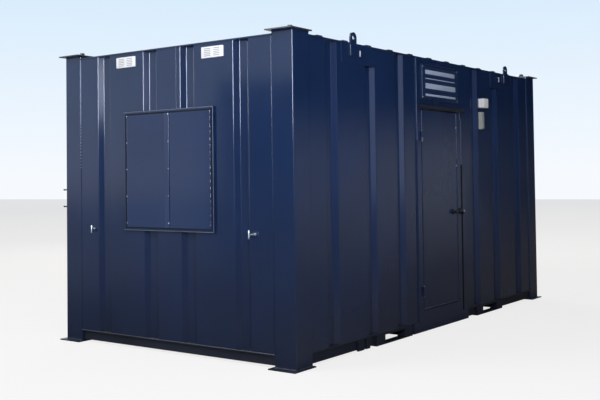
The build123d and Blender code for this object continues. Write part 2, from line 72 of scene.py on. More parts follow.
# Outer faces of the corner posts, and the levels that the fittings are placed from
post_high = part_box("corner_posts")[1]
half_length, half_width = post_high.x, post_high.y
cabin_length, cabin_width = 2 * half_length, 2 * half_width
post_bottom, post_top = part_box("corner_posts")[0].z, post_high.z
end_wall_low, end_wall_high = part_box("left_end_wall")
long_wall_low, long_wall_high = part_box("front_wall_left")
post_size = end_wall_low.y + half_width
wall_bottom, wall_top = end_wall_low.z, end_wall_high.z
end_out = -(end_wall_low.x + half_length)
long_out = -(long_wall_low.y + half_width)
floor_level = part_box("floor_panel")[1].z
ceiling_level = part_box("roof_deck")[0].z
room_x, room_y = -end_wall_high.x, -long_wall_high.y


# ------------------------------------------------------------------ places and colours
def srgb(code):
    """Linear red, green, blue and alpha of an sRGB hex value."""
    shown = [int(code[i:i + 2], 16) / 255 for i in (1, 3, 5)]
    return (*(v / 12.92 if v <= 0.04045 else ((v + 0.055) / 1.055) ** 2.4 for v in shown), 1.0)


def on_wall(side, across, out, height):
    """Point in the frame of a place on a wall."""
    if side in LONG_SIDES:
        y = half_width + out
        return Vector((across - half_length, -y if side == "front" else y, height))
    x = half_length + out
    return Vector((-x if side == "left" else x, across - half_width, height))


def outward(side):
    """Direction out of a wall."""
    return on_wall(side, 0, 1, 0) - on_wall(side, 0, 0, 0)


def facing(side, across, out, height):
    """Point of a place on a wall, and the direction out of the wall."""
    return on_wall(side, across, out, height), outward(side)


def front_box(name):
    """Ranges of across and height of a node on the front wall, and how far out it reaches."""
    low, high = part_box(name)
    return (low.x + half_length, high.x + half_length), (low.z, high.z), -half_width - low.y


def wall_span(side):
    """Length of a wall between the posts' outer faces, and how far out its steel stands."""
    return (cabin_length, long_out) if side in LONG_SIDES else (cabin_width, end_out)


def around(middle, half):
    """Range of the same length on both sides of a middle."""
    return middle - half, middle + half


def inset(span, edge):
    """Range less an edge at both ends."""
    return span[0] + edge, span[1] - edge


# ------------------------------------------------------------------ mesh helpers
def join(bm, part, place=None, material=None):
    """Move a part into a mesh, and free the part."""
    if place is not None:
        part.transform(place)
    if material is not None:
        for face in part.faces:
            face.material_index = material
    mesh = bpy.data.meshes.new("part")
    part.to_mesh(mesh)
    part.free()
    bm.from_mesh(mesh)
    bpy.data.meshes.remove(mesh)


def aimed(place, axis):
    """Move to a place, with Z turned along an axis."""
    return Matrix.Translation(place) @ Vector(axis).to_track_quat("Z", "Y").to_matrix().to_4x4()


def bevel(part, edges, width, steps=2):
    """Round some edges of a part."""
    bmesh.ops.bevel(part, geom=list(edges), offset=width * MM, segments=steps, profile=0.5,
                    affect="EDGES", material=-1)


def add_block(bm, first, second, rounding=0, material=0):
    """Rectangular block between two opposite corners."""
    first, second = Vector(first), Vector(second)
    part = bmesh.new()
    bmesh.ops.create_cube(part, size=1.0)
    bmesh.ops.scale(part, vec=[abs(b - a) for a, b in zip(first, second)], verts=part.verts)
    if rounding:
        bevel(part, part.edges, rounding)
    join(bm, part, Matrix.Translation((first + second) / 2), material)


def wall_block(bm, side, across, out, height, rounding=0, material=0):
    """Block over ranges of across, out and height on a wall."""
    add_block(bm, on_wall(side, across[0], out[0], height[0]),
              on_wall(side, across[1], out[1], height[1]), rounding, material)


def wall_plate(side, across, out, height, corner, rim=0):
    """Plate on a wall with rounded corners and front rim, as a part, and its front face."""
    part = bmesh.new()
    wall_block(part, side, across, out, height)
    normal = outward(side)
    upright = [edge for edge in part.edges
               if abs((edge.verts[0].co - edge.verts[1].co).normalized().dot(normal)) > 0.9]
    bevel(part, upright, corner, 4)
    front = front_face(part, normal)
    if rim:
        bevel(part, front.edges, rim)
        front = front_face(part, normal)
    return part, front


def front_face(part, normal):
    """Face of a part that lies furthest along a direction."""
    return max(part.faces,
               key=lambda face: (face.calc_center_median().dot(normal), face.calc_area()))


def add_plate(bm, side, across, out, height, corner, rim=0, material=0):
    """Plate on a wall with rounded corners and front rim."""
    join(bm, wall_plate(side, across, out, height, corner, rim)[0], material=material)


def add_rod(bm, start, end, radius, sides=16, rounding=0, material=0):
    """Round rod, with both rims rounded if asked."""
    start, end = Vector(start), Vector(end)
    axis = end - start
    part = bmesh.new()
    bmesh.ops.create_cone(part, cap_ends=True, segments=sides, radius1=radius * MM,
                          radius2=radius * MM, depth=axis.length)
    if rounding:
        rims = {edge for face in part.faces if len(face.verts) == sides for edge in face.edges}
        bevel(part, sorted(rims, key=lambda edge: edge.index), rounding, 3)
    join(bm, part, aimed((start + end) / 2, axis), material)


def wall_rod(bm, side, start, end, radius, sides=16, rounding=0, material=0):
    """Round rod between two places on a wall, each given as across, out and height."""
    add_rod(bm, on_wall(side, *start), on_wall(side, *end), radius, sides, rounding, material)


def add_turned(bm, base, direction, profile, steps=32, material=0):
    """Turned form on an axis, from rows of distance along the axis from the base and radius."""
    part = bmesh.new()
    line = [part.verts.new((radius * MM, 0, along * MM)) for along, radius in profile]
    edges = [part.edges.new(pair) for pair in zip(line, line[1:])]
    bmesh.ops.spin(part, geom=line + edges, cent=(0, 0, 0), axis=(0, 0, 1), angle=2 * math.pi,
                   steps=steps, use_merge=True)
    bmesh.ops.remove_doubles(part, verts=part.verts, dist=1e-6)
    bmesh.ops.recalc_face_normals(part, faces=part.faces)
    join(bm, part, aimed(base, direction), material)


def add_dome(bm, centre, direction, radius, material=0, height=None):
    """Domed head of a screw, bolt or rivet, with a flat seat."""
    height = radius * 0.6 if height is None else height
    profile = ((-0.5, 0), (-0.5, radius), (height * 0.35, radius), (height * 0.75, radius * 0.8),
               (height * 0.95, radius * 0.45), (height, 0))
    add_turned(bm, centre, direction, profile, 12, material)


def add_screw(bm, centre, direction, radius, material=0, slot=0):
    """Countersunk screw head, flush but for a thin rim. The recess across it is not cut: a thin bar
    in the slot's material, a little proud of the head, draws it, as painted shade where that
    material is the darker one.
    """
    profile = ((-0.5, 0), (-0.5, radius), (0.6, radius), (1, radius * 0.9), (1, 0))
    add_turned(bm, centre, direction, profile, 12, material)
    long_share, high_share, level, half_depth = 0.6, 0.16, 0.9 * MM, 0.4 * MM
    up = Vector((0, 0, 1))
    across = up.cross(direction).normalized() * radius * MM * long_share
    middle = Vector(centre) + Vector(direction) * level
    lift, deep = up * radius * MM * high_share, Vector(direction) * half_depth
    add_block(bm, middle - across - lift - deep, middle + across + lift + deep, material=slot)


def add_bead(bm, start, end, radius, seed, material=0):
    """Weld bead along a line: a six-sided rod that swells with each ripple, a little unevenly.
    Real ripples are 2 to 4 mm apart; they are drawn 14 mm apart so that they show."""
    pitch, crest, dip = 14 * MM, (0.95, 1.25), (0.65, 0.85)
    start, end = Vector(start), Vector(end)
    length = (end - start).length
    part = bmesh.new()
    bmesh.ops.create_cone(part, cap_ends=True, segments=6, radius1=radius * MM, radius2=radius * MM,
                          depth=length)
    runs = [edge for edge in part.edges
            if abs(edge.verts[0].co.z - edge.verts[1].co.z) > length / 2]
    rings = max(3, round(length / pitch * 2))
    bmesh.ops.subdivide_edges(part, edges=runs, cuts=rings - 1, use_grid_fill=True)
    draw = random.Random(seed)
    swell = [draw.uniform(*(crest if ring % 2 else dip)) for ring in range(rings + 1)]
    for vert in part.verts:
        ring = round((vert.co.z / length + 0.5) * rings)
        vert.co.x *= swell[ring]
        vert.co.y *= swell[ring]
    join(bm, part, aimed((start + end) / 2, end - start), material)


def new_object(bm, name, materials):
    """Object of a finished mesh, in the scene. Frees the mesh that it was built in."""
    mesh = bpy.data.meshes.new(name)
    bm.to_mesh(mesh)
    bm.free()
    for material in materials:
        mesh.materials.append(material)
    made = bpy.data.objects.new(name, mesh)
    bpy.context.scene.collection.objects.link(made)
    return made


def save_piece(bm, name, body, slot, *finish_names, sharp=35):
    """Make a piece of a finished mesh, with its body and finishes by name. Its material slot is not
    used.
    """
    piece = new_object(bm, name, [finish(finish_name) for finish_name in finish_names])
    piece.data.shade_smooth()
    piece.data.set_sharp_from_angle(angle=math.radians(sharp))
    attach(piece, body)
    return piece


# ------------------------------------------------------------------ materials
def set_inputs(node, inputs):
    """Set or link a node's inputs, by name or in the order of those that its settings leave."""
    sockets = [socket for socket in node.inputs if socket.enabled]
    for place, value in inputs.items() if isinstance(inputs, dict) else enumerate(inputs):
        socket = node.inputs[place] if isinstance(place, str) else sockets[place]
        if isinstance(value, bpy.types.Node):
            value = next(output for output in value.outputs if output.enabled)
        if isinstance(value, bpy.types.NodeSocket):
            node.id_data.links.new(value, socket)
        else:
            socket.default_value = value


def add_node(tree, kind, inputs=(), **settings):
    """Add one shader node with its settings, values and links."""
    node = tree.nodes.new("ShaderNode" + kind)
    for name, value in settings.items():
        setattr(node, name, value)
    set_inputs(node, inputs)
    return node


def start_material(name, values=()):
    """New material with a Principled shader. Returns the material, add_node for its own tree, the
    shader and the Object coordinates."""
    material = bpy.data.materials.new(name)
    material.use_nodes = True
    shader = material.node_tree.nodes["Principled BSDF"]
    set_inputs(shader, values)
    add = functools.partial(add_node, material.node_tree)
    return material, add, shader, add("TexCoord").outputs["Object"]


def clouds(add, place, size, detail, stretch=(1, 1, 1)):
    """Cloudy pattern whose features are about size metres across, stretched along the axes."""
    moved = add("Mapping", {"Vector": place, "Scale": [1 / s for s in stretch]})
    return add("TexNoise", {"Vector": moved, "Scale": 1 / size, "Detail": detail,
                            "Roughness": 0.55})


def enamel(name, colour, chalk, dirt, dirt_and_shade_top, dirt_and_shade_share, roughness, waviness, shine=0.5):
    """Sprayed gloss enamel on rolled steel sheet: even, with a fine orange peel, sheet that isn't
    quite flat, chalked patches and rain streaks, dust on ledges, and a darkening towards the dirt
    colour that thickens lower down, part dirt film and part painted shade."""
    material, add, shader, place = start_material(name, {"Specular IOR Level": shine})
    patches = clouds(add, place, 0.9, 4)
    streaks = clouds(add, place, 0.05, 4, (1, 1, 24))
    height = add("SeparateXYZ", (place,)).outputs[2]
    upward = add("SeparateXYZ", (add("NewGeometry").outputs["Normal"],)).outputs[2]
    worn = add("Math", (add("MapRange", (patches, 0.35, 0.75)),
                        add("MapRange", (streaks, 0.3, 0.9, 0.6, 1.0))), operation="MULTIPLY")
    low_darkening_blotches, dust = clouds(add, place, 0.45, 3, (1, 1, 2)), clouds(add, place, 0.25, 5)
    # Darker towards the bottom below the given top: part dirt film, part painted shade.
    low_dirt_and_shade = add("Math", (add("MapRange", (height, dirt_and_shade_top, 0.1, 0.0, dirt_and_shade_share)),
                          add("MapRange", (low_darkening_blotches, 0.2, 0.8, 0.6, 1.0))), operation="MULTIPLY")
    ledge = add("Math", (add("MapRange", (upward, 0.6, 0.95, 0.0, 0.55)),
                         add("MapRange", (dust, 0.3, 0.7, 0.4, 1.0))), operation="MULTIPLY")
    dust_dirt_and_shade = add("Math", (low_dirt_and_shade, ledge), operation="MAXIMUM")
    painted = add("Mix", (worn, colour, chalk), data_type="RGBA")
    matt = add("Math", (add("MapRange", (patches, 0.3, 0.8, roughness, roughness + 0.04)),
                        add("MapRange", (dust_dirt_and_shade, 0.0, 1.0, 0.0, 0.08))), operation="ADD")
    # Orange peel is 2 to 4 mm wide; it is drawn at 9 mm so that it shows.
    peel = add("Bump", {"Height": clouds(add, place, 9 * MM, 1), "Distance": 0.04 * MM})
    wavy = add("Bump", {"Height": clouds(add, place, 0.28, 1, (1, 1, 5)), "Distance": waviness,
                        "Normal": peel})
    set_inputs(shader, {"Base Color": add("Mix", (dust_dirt_and_shade, painted, dirt), data_type="RGBA"),
                        "Roughness": matt, "Normal": wavy})
    return material


def mottled(name, blotches, colours, share, rough, grain=None, values=()):
    """Material with two colours and two roughnesses that a cloudy pattern mixes, given as size,
    detail and stretch. A grain is given in the same way, with its height at the end."""
    material, add, shader, place = start_material(name, values)
    cloudy = clouds(add, place, *blotches)
    mix = add("MapRange", (cloudy, *share)) if share else cloudy
    inputs = {"Base Color": add("Mix", (mix, *map(srgb, colours)), data_type="RGBA"),
              "Roughness": add("MapRange", (cloudy, *rough))}
    if grain:
        *pattern, height = grain
        inputs["Normal"] = add("Bump", {"Height": clouds(add, place, *pattern), "Distance": height})
    set_inputs(shader, inputs)
    return material


def zinc():
    """Bright zinc plating on small steel parts: blue-grey, softly mottled, half polished."""
    return mottled("zinc_plating", (8 * MM, 3), ("#b9c0c6", "#e2e6e8"), (0.3, 0.7),
                   (0.3, 0.7, 0.28, 0.45), values={"Metallic": 1.0})


def moulded_plastic(name, colour, shade, roughness):
    """Injection-moulded plastic with a fine spark-eroded grain, and faint grime."""
    return mottled(name, (0.06, 5, (1, 1, 3)), (colour, shade), (0.45, 0.8, 0.0, 0.6),
                   (0.3, 0.8, roughness, roughness + 0.15), (2.5 * MM, 2, 0.05 * MM))


def black_lacquer():
    """Black powder coat on the lock's castings: deep, satin, lightly pebbled, worn in places."""
    return mottled("black_lacquer", (20 * MM, 4), ("#0c1018", "#2a303b"), (0.5, 0.85, 0.0, 0.5),
                   (0.3, 0.8, 0.3, 0.45), (3 * MM, 2, 0.06 * MM))


def lining_board():
    """Vinyl-faced plasterboard: off-white, with a soft linen emboss about 3 mm wide."""
    return mottled("vinyl_faced_board", (0.5, 3), ("#e3e2dc", "#ece9e0"), (0.35, 0.7),
                   (0.3, 0.7, 0.42, 0.55), (3 * MM, 2, (1, 1, 3), 0.12 * MM))


def rubber():
    """Extruded black weather seal: dull, faintly ribbed along its length."""
    return mottled("weather_seal_rubber", (1.5 * MM, 1, (1, 1, 60)), ("#0d0f14", "#181b21"), None,
                   (0.3, 0.7, 0.6, 0.75), values={"Specular IOR Level": 0.08})


def float_glass():
    """Clear float glass with a slight green body and a little dust."""
    return mottled("float_glass", (0.2, 5), ("#e4efe9", "#edf4f0"), None, (0.4, 0.8, 0.02, 0.09),
                   values={"IOR": 1.52, "Transmission Weight": 1.0})


def sheet_vinyl():
    """Hard-wearing sheet vinyl floor: mid grey with fine light and dark chips and scuffs."""
    material, add, shader, place = start_material("sheet_vinyl_floor")
    chips = add("TexVoronoi", {"Vector": place, "Scale": 1 / (6 * MM)})
    fleck = add("MapRange", (add("SeparateColor", (chips.outputs["Color"],)), 0.7, 0.9))
    scuffs = clouds(add, place, 0.35, 6)
    body = add("Mix", (add("MapRange", (scuffs, 0.4, 0.75)), srgb("#4c5156"), srgb("#5d6063")),
               data_type="RGBA")
    set_inputs(shader, {"Base Color": add("Mix", (fleck, body, srgb("#8a8d8f")), data_type="RGBA"),
                        "Roughness": add("MapRange", (scuffs, 0.3, 0.8, 0.35, 0.6))})
    return material


def plywood():
    """Weatherproof plywood under the floor: brown with long grain and darker stains."""
    material, add, shader, place = start_material("plywood_underside")
    grain = clouds(add, place, 5 * MM, 4, (40, 1, 1))
    stain = add("MapRange", (clouds(add, place, 0.4, 3), 0.5, 0.8, 0.0, 0.6))
    wood = add("Mix", (add("MapRange", (grain, 0.35, 0.7)), srgb("#7b5f42"), srgb("#9a7b57")),
               data_type="RGBA")
    set_inputs(shader, {"Base Color": add("Mix", (stain, wood, srgb("#4f3f30")), data_type="RGBA"),
                        "Roughness": add("MapRange", (grain, 0.3, 0.7, 0.6, 0.8))})
    return material


finishes = {}


def finish(name):
    """The named material, made once."""
    if name not in finishes:
        finishes[name] = finish_makers()[name]()
    return finishes[name]


def finish_makers():
    """Function that makes each named finish, with the colours of the Finishes panel."""
    paint = bpy.context.scene.cabin_finishes
    navy, chalk, dirt = ((*colour, 1.0) for colour in (paint.navy, paint.chalked, paint.dirt))
    gloss, wave = paint.gloss_roughness, paint.sheet_waviness
    faded, flat = gloss + 0.18, 0.2 * MM
    dull = srgb("#141925")
    # Each enamel: name, colour, chalked colour, dirt, the top and share of the darkening towards
    # the dirt colour low down (part dirt film, part painted shade), roughness, waviness and, where
    # it is less glossy, its shine
    return {
        "enamel": lambda: enamel("navy_gloss_enamel", navy, chalk, dirt, 1.7, 0.85, gloss, wave),
        "leaf": lambda: enamel("navy_shutter_enamel", srgb("#162a4d"), srgb("#1f3358"),
                               srgb("#4a5469"), 1.75, 0.55, gloss, 0.6 * wave, 0.43),
        "cover": lambda: enamel("faded_strip_enamel", srgb("#1b2d50"), srgb("#24375b"), dirt, 1.3,
                                0.2, faded, flat),
        # Paler enamel for bead, hem, washer and surround edges: a painted highlight, fading to the
        # dirt colour lower down.
        "edge": lambda: enamel("painted_highlight_enamel", srgb("#4d5b75"), srgb("#68768e"), dirt, 2.1,
                               1.0, faded, 0.1 * MM),
        "chassis": lambda: enamel("navy_chassis_enamel", dull, srgb("#242c3b"), dirt, 0.45, 0.6,
                                  faded, flat, 0.3),
        "plates": lambda: enamel("scuffed_plate_enamel", dull, srgb("#39404d"), srgb("#4c4a48"),
                                 0.06, 0.5, faded, 0.3 * MM),
        "roof": lambda: enamel("weathered_roof_enamel", srgb("#1b2336"), srgb("#46526a"),
                               srgb("#5a5955"), 0.0, 0.0, gloss + 0.25, 1.5 * MM),
        "rail": lambda: enamel("faded_rail_enamel", srgb("#1d212c"), srgb("#302f38"), dirt, 0.0,
                               0.0, gloss + 0.2, flat),
        "zinc": zinc,
        "white": lambda: moulded_plastic("white_polypropylene", "#ecebe9", "#dad9d6", 0.35),
        "ivory": lambda: moulded_plastic("ivory_polycarbonate", "#fffaee", "#ebe4d6", 0.35),
        "strip": lambda: moulded_plastic("faded_label_strip", "#aab6c6", "#94a1b3", 0.4),
        "frame": lambda: moulded_plastic("white_window_pvc", "#eeeeea", "#dcdcd6", 0.3),
        "grey": lambda: moulded_plastic("light_grey_polycarbonate", "#adaea2", "#8c8d82", 0.4),
        # Grey-brown plastic: in the vents' slots, the screws' recesses and the seam under the
        # supply box's lid it is painted shade in those recesses; on the supply box's screws and the
        # inlet's hinge rod and screw it is their own colour.
        "slot": lambda: moulded_plastic("painted_shade_and_grey_plastic", "#a8a19a", "#958e87", 0.6),
        "black": black_lacquer,
        "lining": lining_board,
        "vinyl": sheet_vinyl,
        "plywood": plywood,
        "rubber": rubber,
        "glass": float_glass,
        "sign": lambda: moulded_plastic("blue_sign_laminate", "#12284d", "#1a3258", 0.3),
    }


# ------------------------------------------------------------------ settings
class CabinFinishes(bpy.types.PropertyGroup):
    """Colours and gloss of the paint"""

    navy: bpy.props.FloatVectorProperty(
        name="Navy", description="Colour of the enamel", subtype="COLOR", size=3,
        min=0, max=1, default=srgb("#192b4a")[:3])
    chalked: bpy.props.FloatVectorProperty(
        name="Chalked navy", description="Enamel where rain and sun have dulled it",
        subtype="COLOR", size=3, min=0, max=1, default=srgb("#213358")[:3])
    # The dirt colour also darkens the enamel low down, and that darkening is part dirt film and
    # part painted shade.
    dirt: bpy.props.FloatVectorProperty(
        name="Dirt", description="Film of dirt on ledges and low down", subtype="COLOR", size=3,
        min=0, max=1, default=srgb("#212229")[:3])
    gloss_roughness: bpy.props.FloatProperty(
        name="Gloss roughness", description="Roughness of clean enamel", subtype="FACTOR",
        min=0, max=1, default=0.12)
    sheet_waviness: bpy.props.FloatProperty(
        name="Sheet waviness", description="How far the rolled sheet leaves a true plane",
        unit="LENGTH", min=0, max=0.01, default=2.2 * MM)


class CabinFittings(bpy.types.PropertyGroup):
    """Sizes of the fittings"""

    weld_radius: bpy.props.FloatProperty(
        name="Weld radius", description="Radius of the main weld beads", unit="LENGTH",
        min=0.001, max=0.02, default=5 * MM)
    louvre_count: bpy.props.IntProperty(
        name="Louvres", description="Blades in each half of a vent", min=2, max=12, default=5)
    strip_bolt_count: bpy.props.IntProperty(
        name="Strip bolts", description="Bolts down each shutter's cover strip", min=2, max=12,
        default=5)
    knuckle_length: bpy.props.FloatProperty(
        name="Hinge knuckle", description="Length of one knuckle of the shutter hinges",
        unit="LENGTH", min=0.02, max=0.2, default=60 * MM)
    rivet_pitch: bpy.props.FloatProperty(
        name="Rivet pitch", description="Distance between the shutter hinge rivets", unit="LENGTH",
        min=0.05, max=0.5, default=240 * MM)
    board_width: bpy.props.FloatProperty(
        name="Board width", description="Width of the lining boards", unit="LENGTH",
        min=0.3, max=2.4, default=1.2)
    board_thickness: bpy.props.FloatProperty(
        name="Board thickness", description="How far the lining stands in front of the walls",
        unit="LENGTH", min=0.001, max=0.01, default=3 * MM)


class CabinStage(bpy.types.PropertyGroup):
    """Camera, lamps and floor"""

    camera_place: bpy.props.FloatVectorProperty(
        name="Camera", description="Where the camera stands", subtype="TRANSLATION", unit="LENGTH",
        size=3, default=(-8.0036, -5.5959, 1.5193))
    camera_yaw: bpy.props.FloatProperty(
        name="Yaw", description="Turn of the camera from +X towards +Y", subtype="ANGLE",
        default=0.6143)
    camera_pitch: bpy.props.FloatProperty(
        name="Pitch", description="Upward tilt of the camera", subtype="ANGLE", default=0.02946)
    camera_roll: bpy.props.FloatProperty(
        name="Roll", description="Turn of the camera about its own axis", subtype="ANGLE",
        default=-0.01352)
    camera_lens: bpy.props.FloatProperty(
        name="Lens", description="Focal length on a 36 mm wide sensor", unit="CAMERA", min=10,
        max=300, default=53.617)
    camera_shift: bpy.props.FloatVectorProperty(
        name="Shift", description="Sideways and upward shift of the lens", size=2,
        default=(-0.04254, -0.08399))
    key_power: bpy.props.FloatProperty(
        name="Key lamp", description="Power of the soft lamp beyond the window end", unit="POWER",
        min=0, max=5000, default=420)
    edge_power: bpy.props.FloatProperty(
        name="Edge lamp", description="Power of the lamp that draws bright lines along the bends",
        unit="POWER", min=0, max=5000, default=1500)
    groove_power: bpy.props.FloatProperty(
        name="Groove lamp", description="Power of the lamp that the end wall's groove reflects",
        unit="POWER", min=0, max=5000, default=20)
    slope_power: bpy.props.FloatProperty(
        name="Slope lamp", description="Power of the lamp that the front's grooves reflect",
        unit="POWER", min=0, max=5000, default=48)
    fill_power: bpy.props.FloatProperty(
        name="Fill lamp", description="Power of the soft lamp behind the camera", unit="POWER",
        min=0, max=5000, default=400)
    sky_strength: bpy.props.FloatProperty(
        name="Sky", description="Strength of the light from all round", min=0, max=4, default=0.31)
    back_power: bpy.props.FloatProperty(
        name="Back lamp", description="Power of the soft lamp behind the cabin", unit="POWER",
        min=0, max=5000, default=350)


# ------------------------------------------------------------------ operators
class CABIN_OT_paint(bpy.types.Operator):
    """Give the steel, board and plastic nodes of the frame their finishes"""

    bl_idname = "cabin.paint"
    bl_label = "Painted Frame"

    def execute(self, context):
        node_finishes = {
            "enamel": "corner_posts front_wall_left front_wall_right back_wall left_end_wall "
                      "right_end_wall over_door_panel door_head door_jambs door_leaf door_sill "
                      "door_stops door_apron lifting_plates lifting_eyes roof_edge shutter_frames "
                      "frame_hinges leaf_hinges",
            "chassis": "base_side_rails base_end_rails fork_pockets base_lugs floor_joists "
                       "sill_bars foot_plates",
            "plates": "top_plates stacking_cones", "rail": "drip_rail", "leaf": "shutter_leaves",
            "cover": "cover_strips", "roof": "roof_sheet", "plywood": "floor_panel",
            "lining": "roof_deck", "frame": "window_frames", "glass": "window_glass",
            "zinc": "post_pegs shutter_catches", "white": "vent_grilles", "ivory": "supply_box",
            "grey": "inlet_box", "black": "door_knob lock_bar lock_keep", "sign": "sign_plate"}
        for finish_name, names in node_finishes.items():
            for name in names.split():
                materials = frame["nodes"][name].data.materials
                materials.clear()
                materials.append(finish(finish_name))
        return {"FINISHED"}


class CABIN_OT_welds(bpy.types.Operator):
    """Run weld beads where the posts, walls, door frame and plates meet"""

    bl_idname = "cabin.welds"
    bl_label = "Weld Beads"

    def execute(self, context):
        radius = context.scene.cabin_fittings.weld_radius / MM
        highlight_radius = 1.9 * radius
        eye_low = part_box("lifting_eyes")[0]
        plate_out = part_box("lifting_plates")[1].y - half_width
        bm, foot = bmesh.new(), bmesh.new()
        runs = (self.end_runs(radius, highlight_radius) + self.frame_runs(radius)
                + self.plate_runs(radius, eye_low, plate_out) + self.foot_runs(radius))
        for seed, (side, start, end, out, low, high, size) in enumerate(runs):
            at_foot = low == high == wall_bottom
            # The second finish is painted light: the paler enamel on the back posts' thick beads is
            # a painted highlight, and the dark chassis enamel on the long walls' foot beads is
            # painted shade under the walls. The end walls' foot beads keep the paler plate enamel,
            # a painted highlight along the walls' foot.
            worn = size == highlight_radius or (at_foot and side in LONG_SIDES)
            add_bead(foot if at_foot else bm, on_wall(side, start, out, low),
                     on_wall(side, end, out, high), size, seed, int(worn))
        save_piece(bm, "weld_beads", "cabin", "navy_paint", "enamel", "edge", sharp=80)
        save_piece(foot, "wall_foot_beads", "cabin", "navy_paint", "plates", "chassis", sharp=80)
        self.add_eye_highlights(eye_low, plate_out)
        return {"FINISHED"}

    def end_runs(self, radius, highlight_radius):
        """Upright beads of the end walls, and of the seam over the shutters. The one at the back
        post is thicker and in the paler enamel at its top, and in spots that get shorter and
        shorter below: a painted highlight."""
        highlight_from, spots, spot_pitch, first_spot = 2.03, 14, 29 * MM, 22
        back, seam = cabin_width - post_size, half_width - 96 * MM
        seam_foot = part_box("shutter_frames")[1].z
        runs = []
        for side in END_SIDES:
            runs += [(side, post_size, post_size, end_out, wall_bottom, wall_top, 0.8 * radius),
                     (side, back, back, end_out, wall_bottom, highlight_from, radius),
                     (side, back, back, end_out, highlight_from, wall_top, highlight_radius)]
            for spot in range(spots):
                height = highlight_from - (spot + 1) * spot_pitch
                runs.append((side, back, back, end_out, height, height + (first_spot - spot) * MM,
                             highlight_radius))
            runs.append((side, seam, seam, end_out - 1 * MM, seam_foot, wall_top, 0.6 * radius))
        return runs

    def frame_runs(self, radius):
        """Upright beads of the long walls, and beads along the posts' feet and heads."""
        posts, door = (post_size, cabin_length - post_size), front_box("door_jambs")[0]
        runs = [(side, across, across, long_out, wall_bottom, wall_top, radius)
                for side, places in (("front", (posts[0], *door, posts[1])), ("back", posts))
                for across in places]
        corner = 9 * MM
        for side in END_SIDES + LONG_SIDES:
            length = wall_span(side)[0]
            runs += [(side, start, end, 0, height, height, radius)
                     for start, end in ((corner, post_size - corner),
                                        (length - post_size + corner, length - corner))
                     for height in (post_bottom, post_top)]
        return runs

    def plate_runs(self, radius, eye_low, plate_out):
        """Beads up both sides and along the foot of the lifting plates, and of the eyes on them."""
        plate_inner, eye_inner = 1.222, 0.899
        plate_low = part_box("lifting_plates")[0]
        runs = []
        for side in LONG_SIDES:
            for outer, inner, foot, out, size in (
                    (half_length + plate_low.x, plate_inner, plate_low.z, long_out, 0.8 * radius),
                    (half_length + eye_low.x, eye_inner, eye_low.z, plate_out, radius)):
                for near, far in ((outer, inner), (cabin_length - inner, cabin_length - outer)):
                    runs += [(side, near, near, out, foot, wall_top, size),
                             (side, far, far, out, foot, wall_top, size),
                             (side, near, far, out, foot, foot, size)]
        return runs

    def foot_runs(self, radius):
        """Beads along the walls' feet, open at the doorway."""
        door_left, door_right = front_box("door_jambs")[0]
        runs = []
        for side in LONG_SIDES + END_SIDES:
            length, out = wall_span(side)
            spans = [(post_size, length - post_size)]
            if side == "front":
                spans = [(post_size, door_left), (door_right, length - post_size)]
            runs += [(side, start, end, out + 1 * MM, wall_bottom, wall_bottom, radius)
                     for start, end in spans]
        return runs

    def add_eye_highlights(self, eye_low, plate_out):
        """White plastic caps beside the lifting eyes, and bright zinc rods up one edge of each eye,
        put there as painted highlights.
        """
        left_highlight_cap, right_highlight_cap = half_length - 1.4655, half_length + 1.395
        left_eye, right_eye = half_length + eye_low.x, half_length + 1.541
        bm = bmesh.new()
        for side in LONG_SIDES:
            for across, depth in ((left_highlight_cap, 5 * MM), (right_highlight_cap, 18 * MM)):
                add_plate(bm, side, around(across, 8 * MM), (plate_out, plate_out + depth),
                          (eye_low.z + 5 * MM, eye_low.z + 57 * MM), 3, 1)
            for across in (left_eye, right_eye):
                wall_rod(bm, side, (across, 11 * MM, eye_low.z),
                         (across, 11 * MM, eye_low.z + 92 * MM), 2.5, 12, 1, 1)
        save_piece(bm, "lifting_eye_highlight_caps", "cabin", "white_plastic", "white", "zinc")


class CABIN_OT_vents(bpy.types.Operator):
    """Build the four louvred vents under the roof"""

    bl_idname = "cabin.vents"
    bl_label = "Vents"

    def execute(self, context):
        low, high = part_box("vent_grilles")
        width = 0.243
        from_middle = high.y - width / 2
        bm = bmesh.new()
        for side in END_SIDES:
            for middle in around(half_width, from_middle):
                self.add_vent(bm, side, middle, width, high.x - half_length, (low.z, high.z),
                              context.scene.cabin_fittings.louvre_count)
        vents = save_piece(bm, "louvred_vents", "cabin", "white_plastic", "white", "slot", "zinc")
        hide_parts("vent_grilles")
        return {"FINISHED"}

    def add_vent(self, bm, side, middle, width, depth, height, count):
        """One vent: a plate with two banks of hooded slots and five screws."""
        face, centre = depth - 3 * MM, sum(height) / 2
        plate = around(middle, width / 2)
        add_plate(bm, side, plate, (end_out, face), height, 6, 2)
        pitch = 0.16 * (height[1] - height[0])
        bank_offset, slot_half = 0.215 * width, 0.15 * width
        gap_half, hood_top = 0.22 * pitch, 0.40 * pitch
        for bank in around(middle, bank_offset):
            ends = around(bank, slot_half)
            for number in range(count):
                level = centre + (number - (count - 1) / 2) * pitch
                # Each slot is a grey-brown strip under a white hood: painted shade in the slot.
                wall_block(bm, side, ends, (face - 2 * MM, face + 0.4 * MM),
                           around(level, gap_half), material=1)
                wall_block(bm, side, ends, (face - 1 * MM, face + 2.5 * MM),
                           (level + gap_half, level + hood_top), 1)
        for across in inset(plate, 9 * MM):
            for level in inset(height, 9 * MM):
                add_screw(bm, *facing(side, across, face, level), 3.5, 2, 1)
        add_screw(bm, *facing(side, middle, face, centre), 3.5, 2, 1)


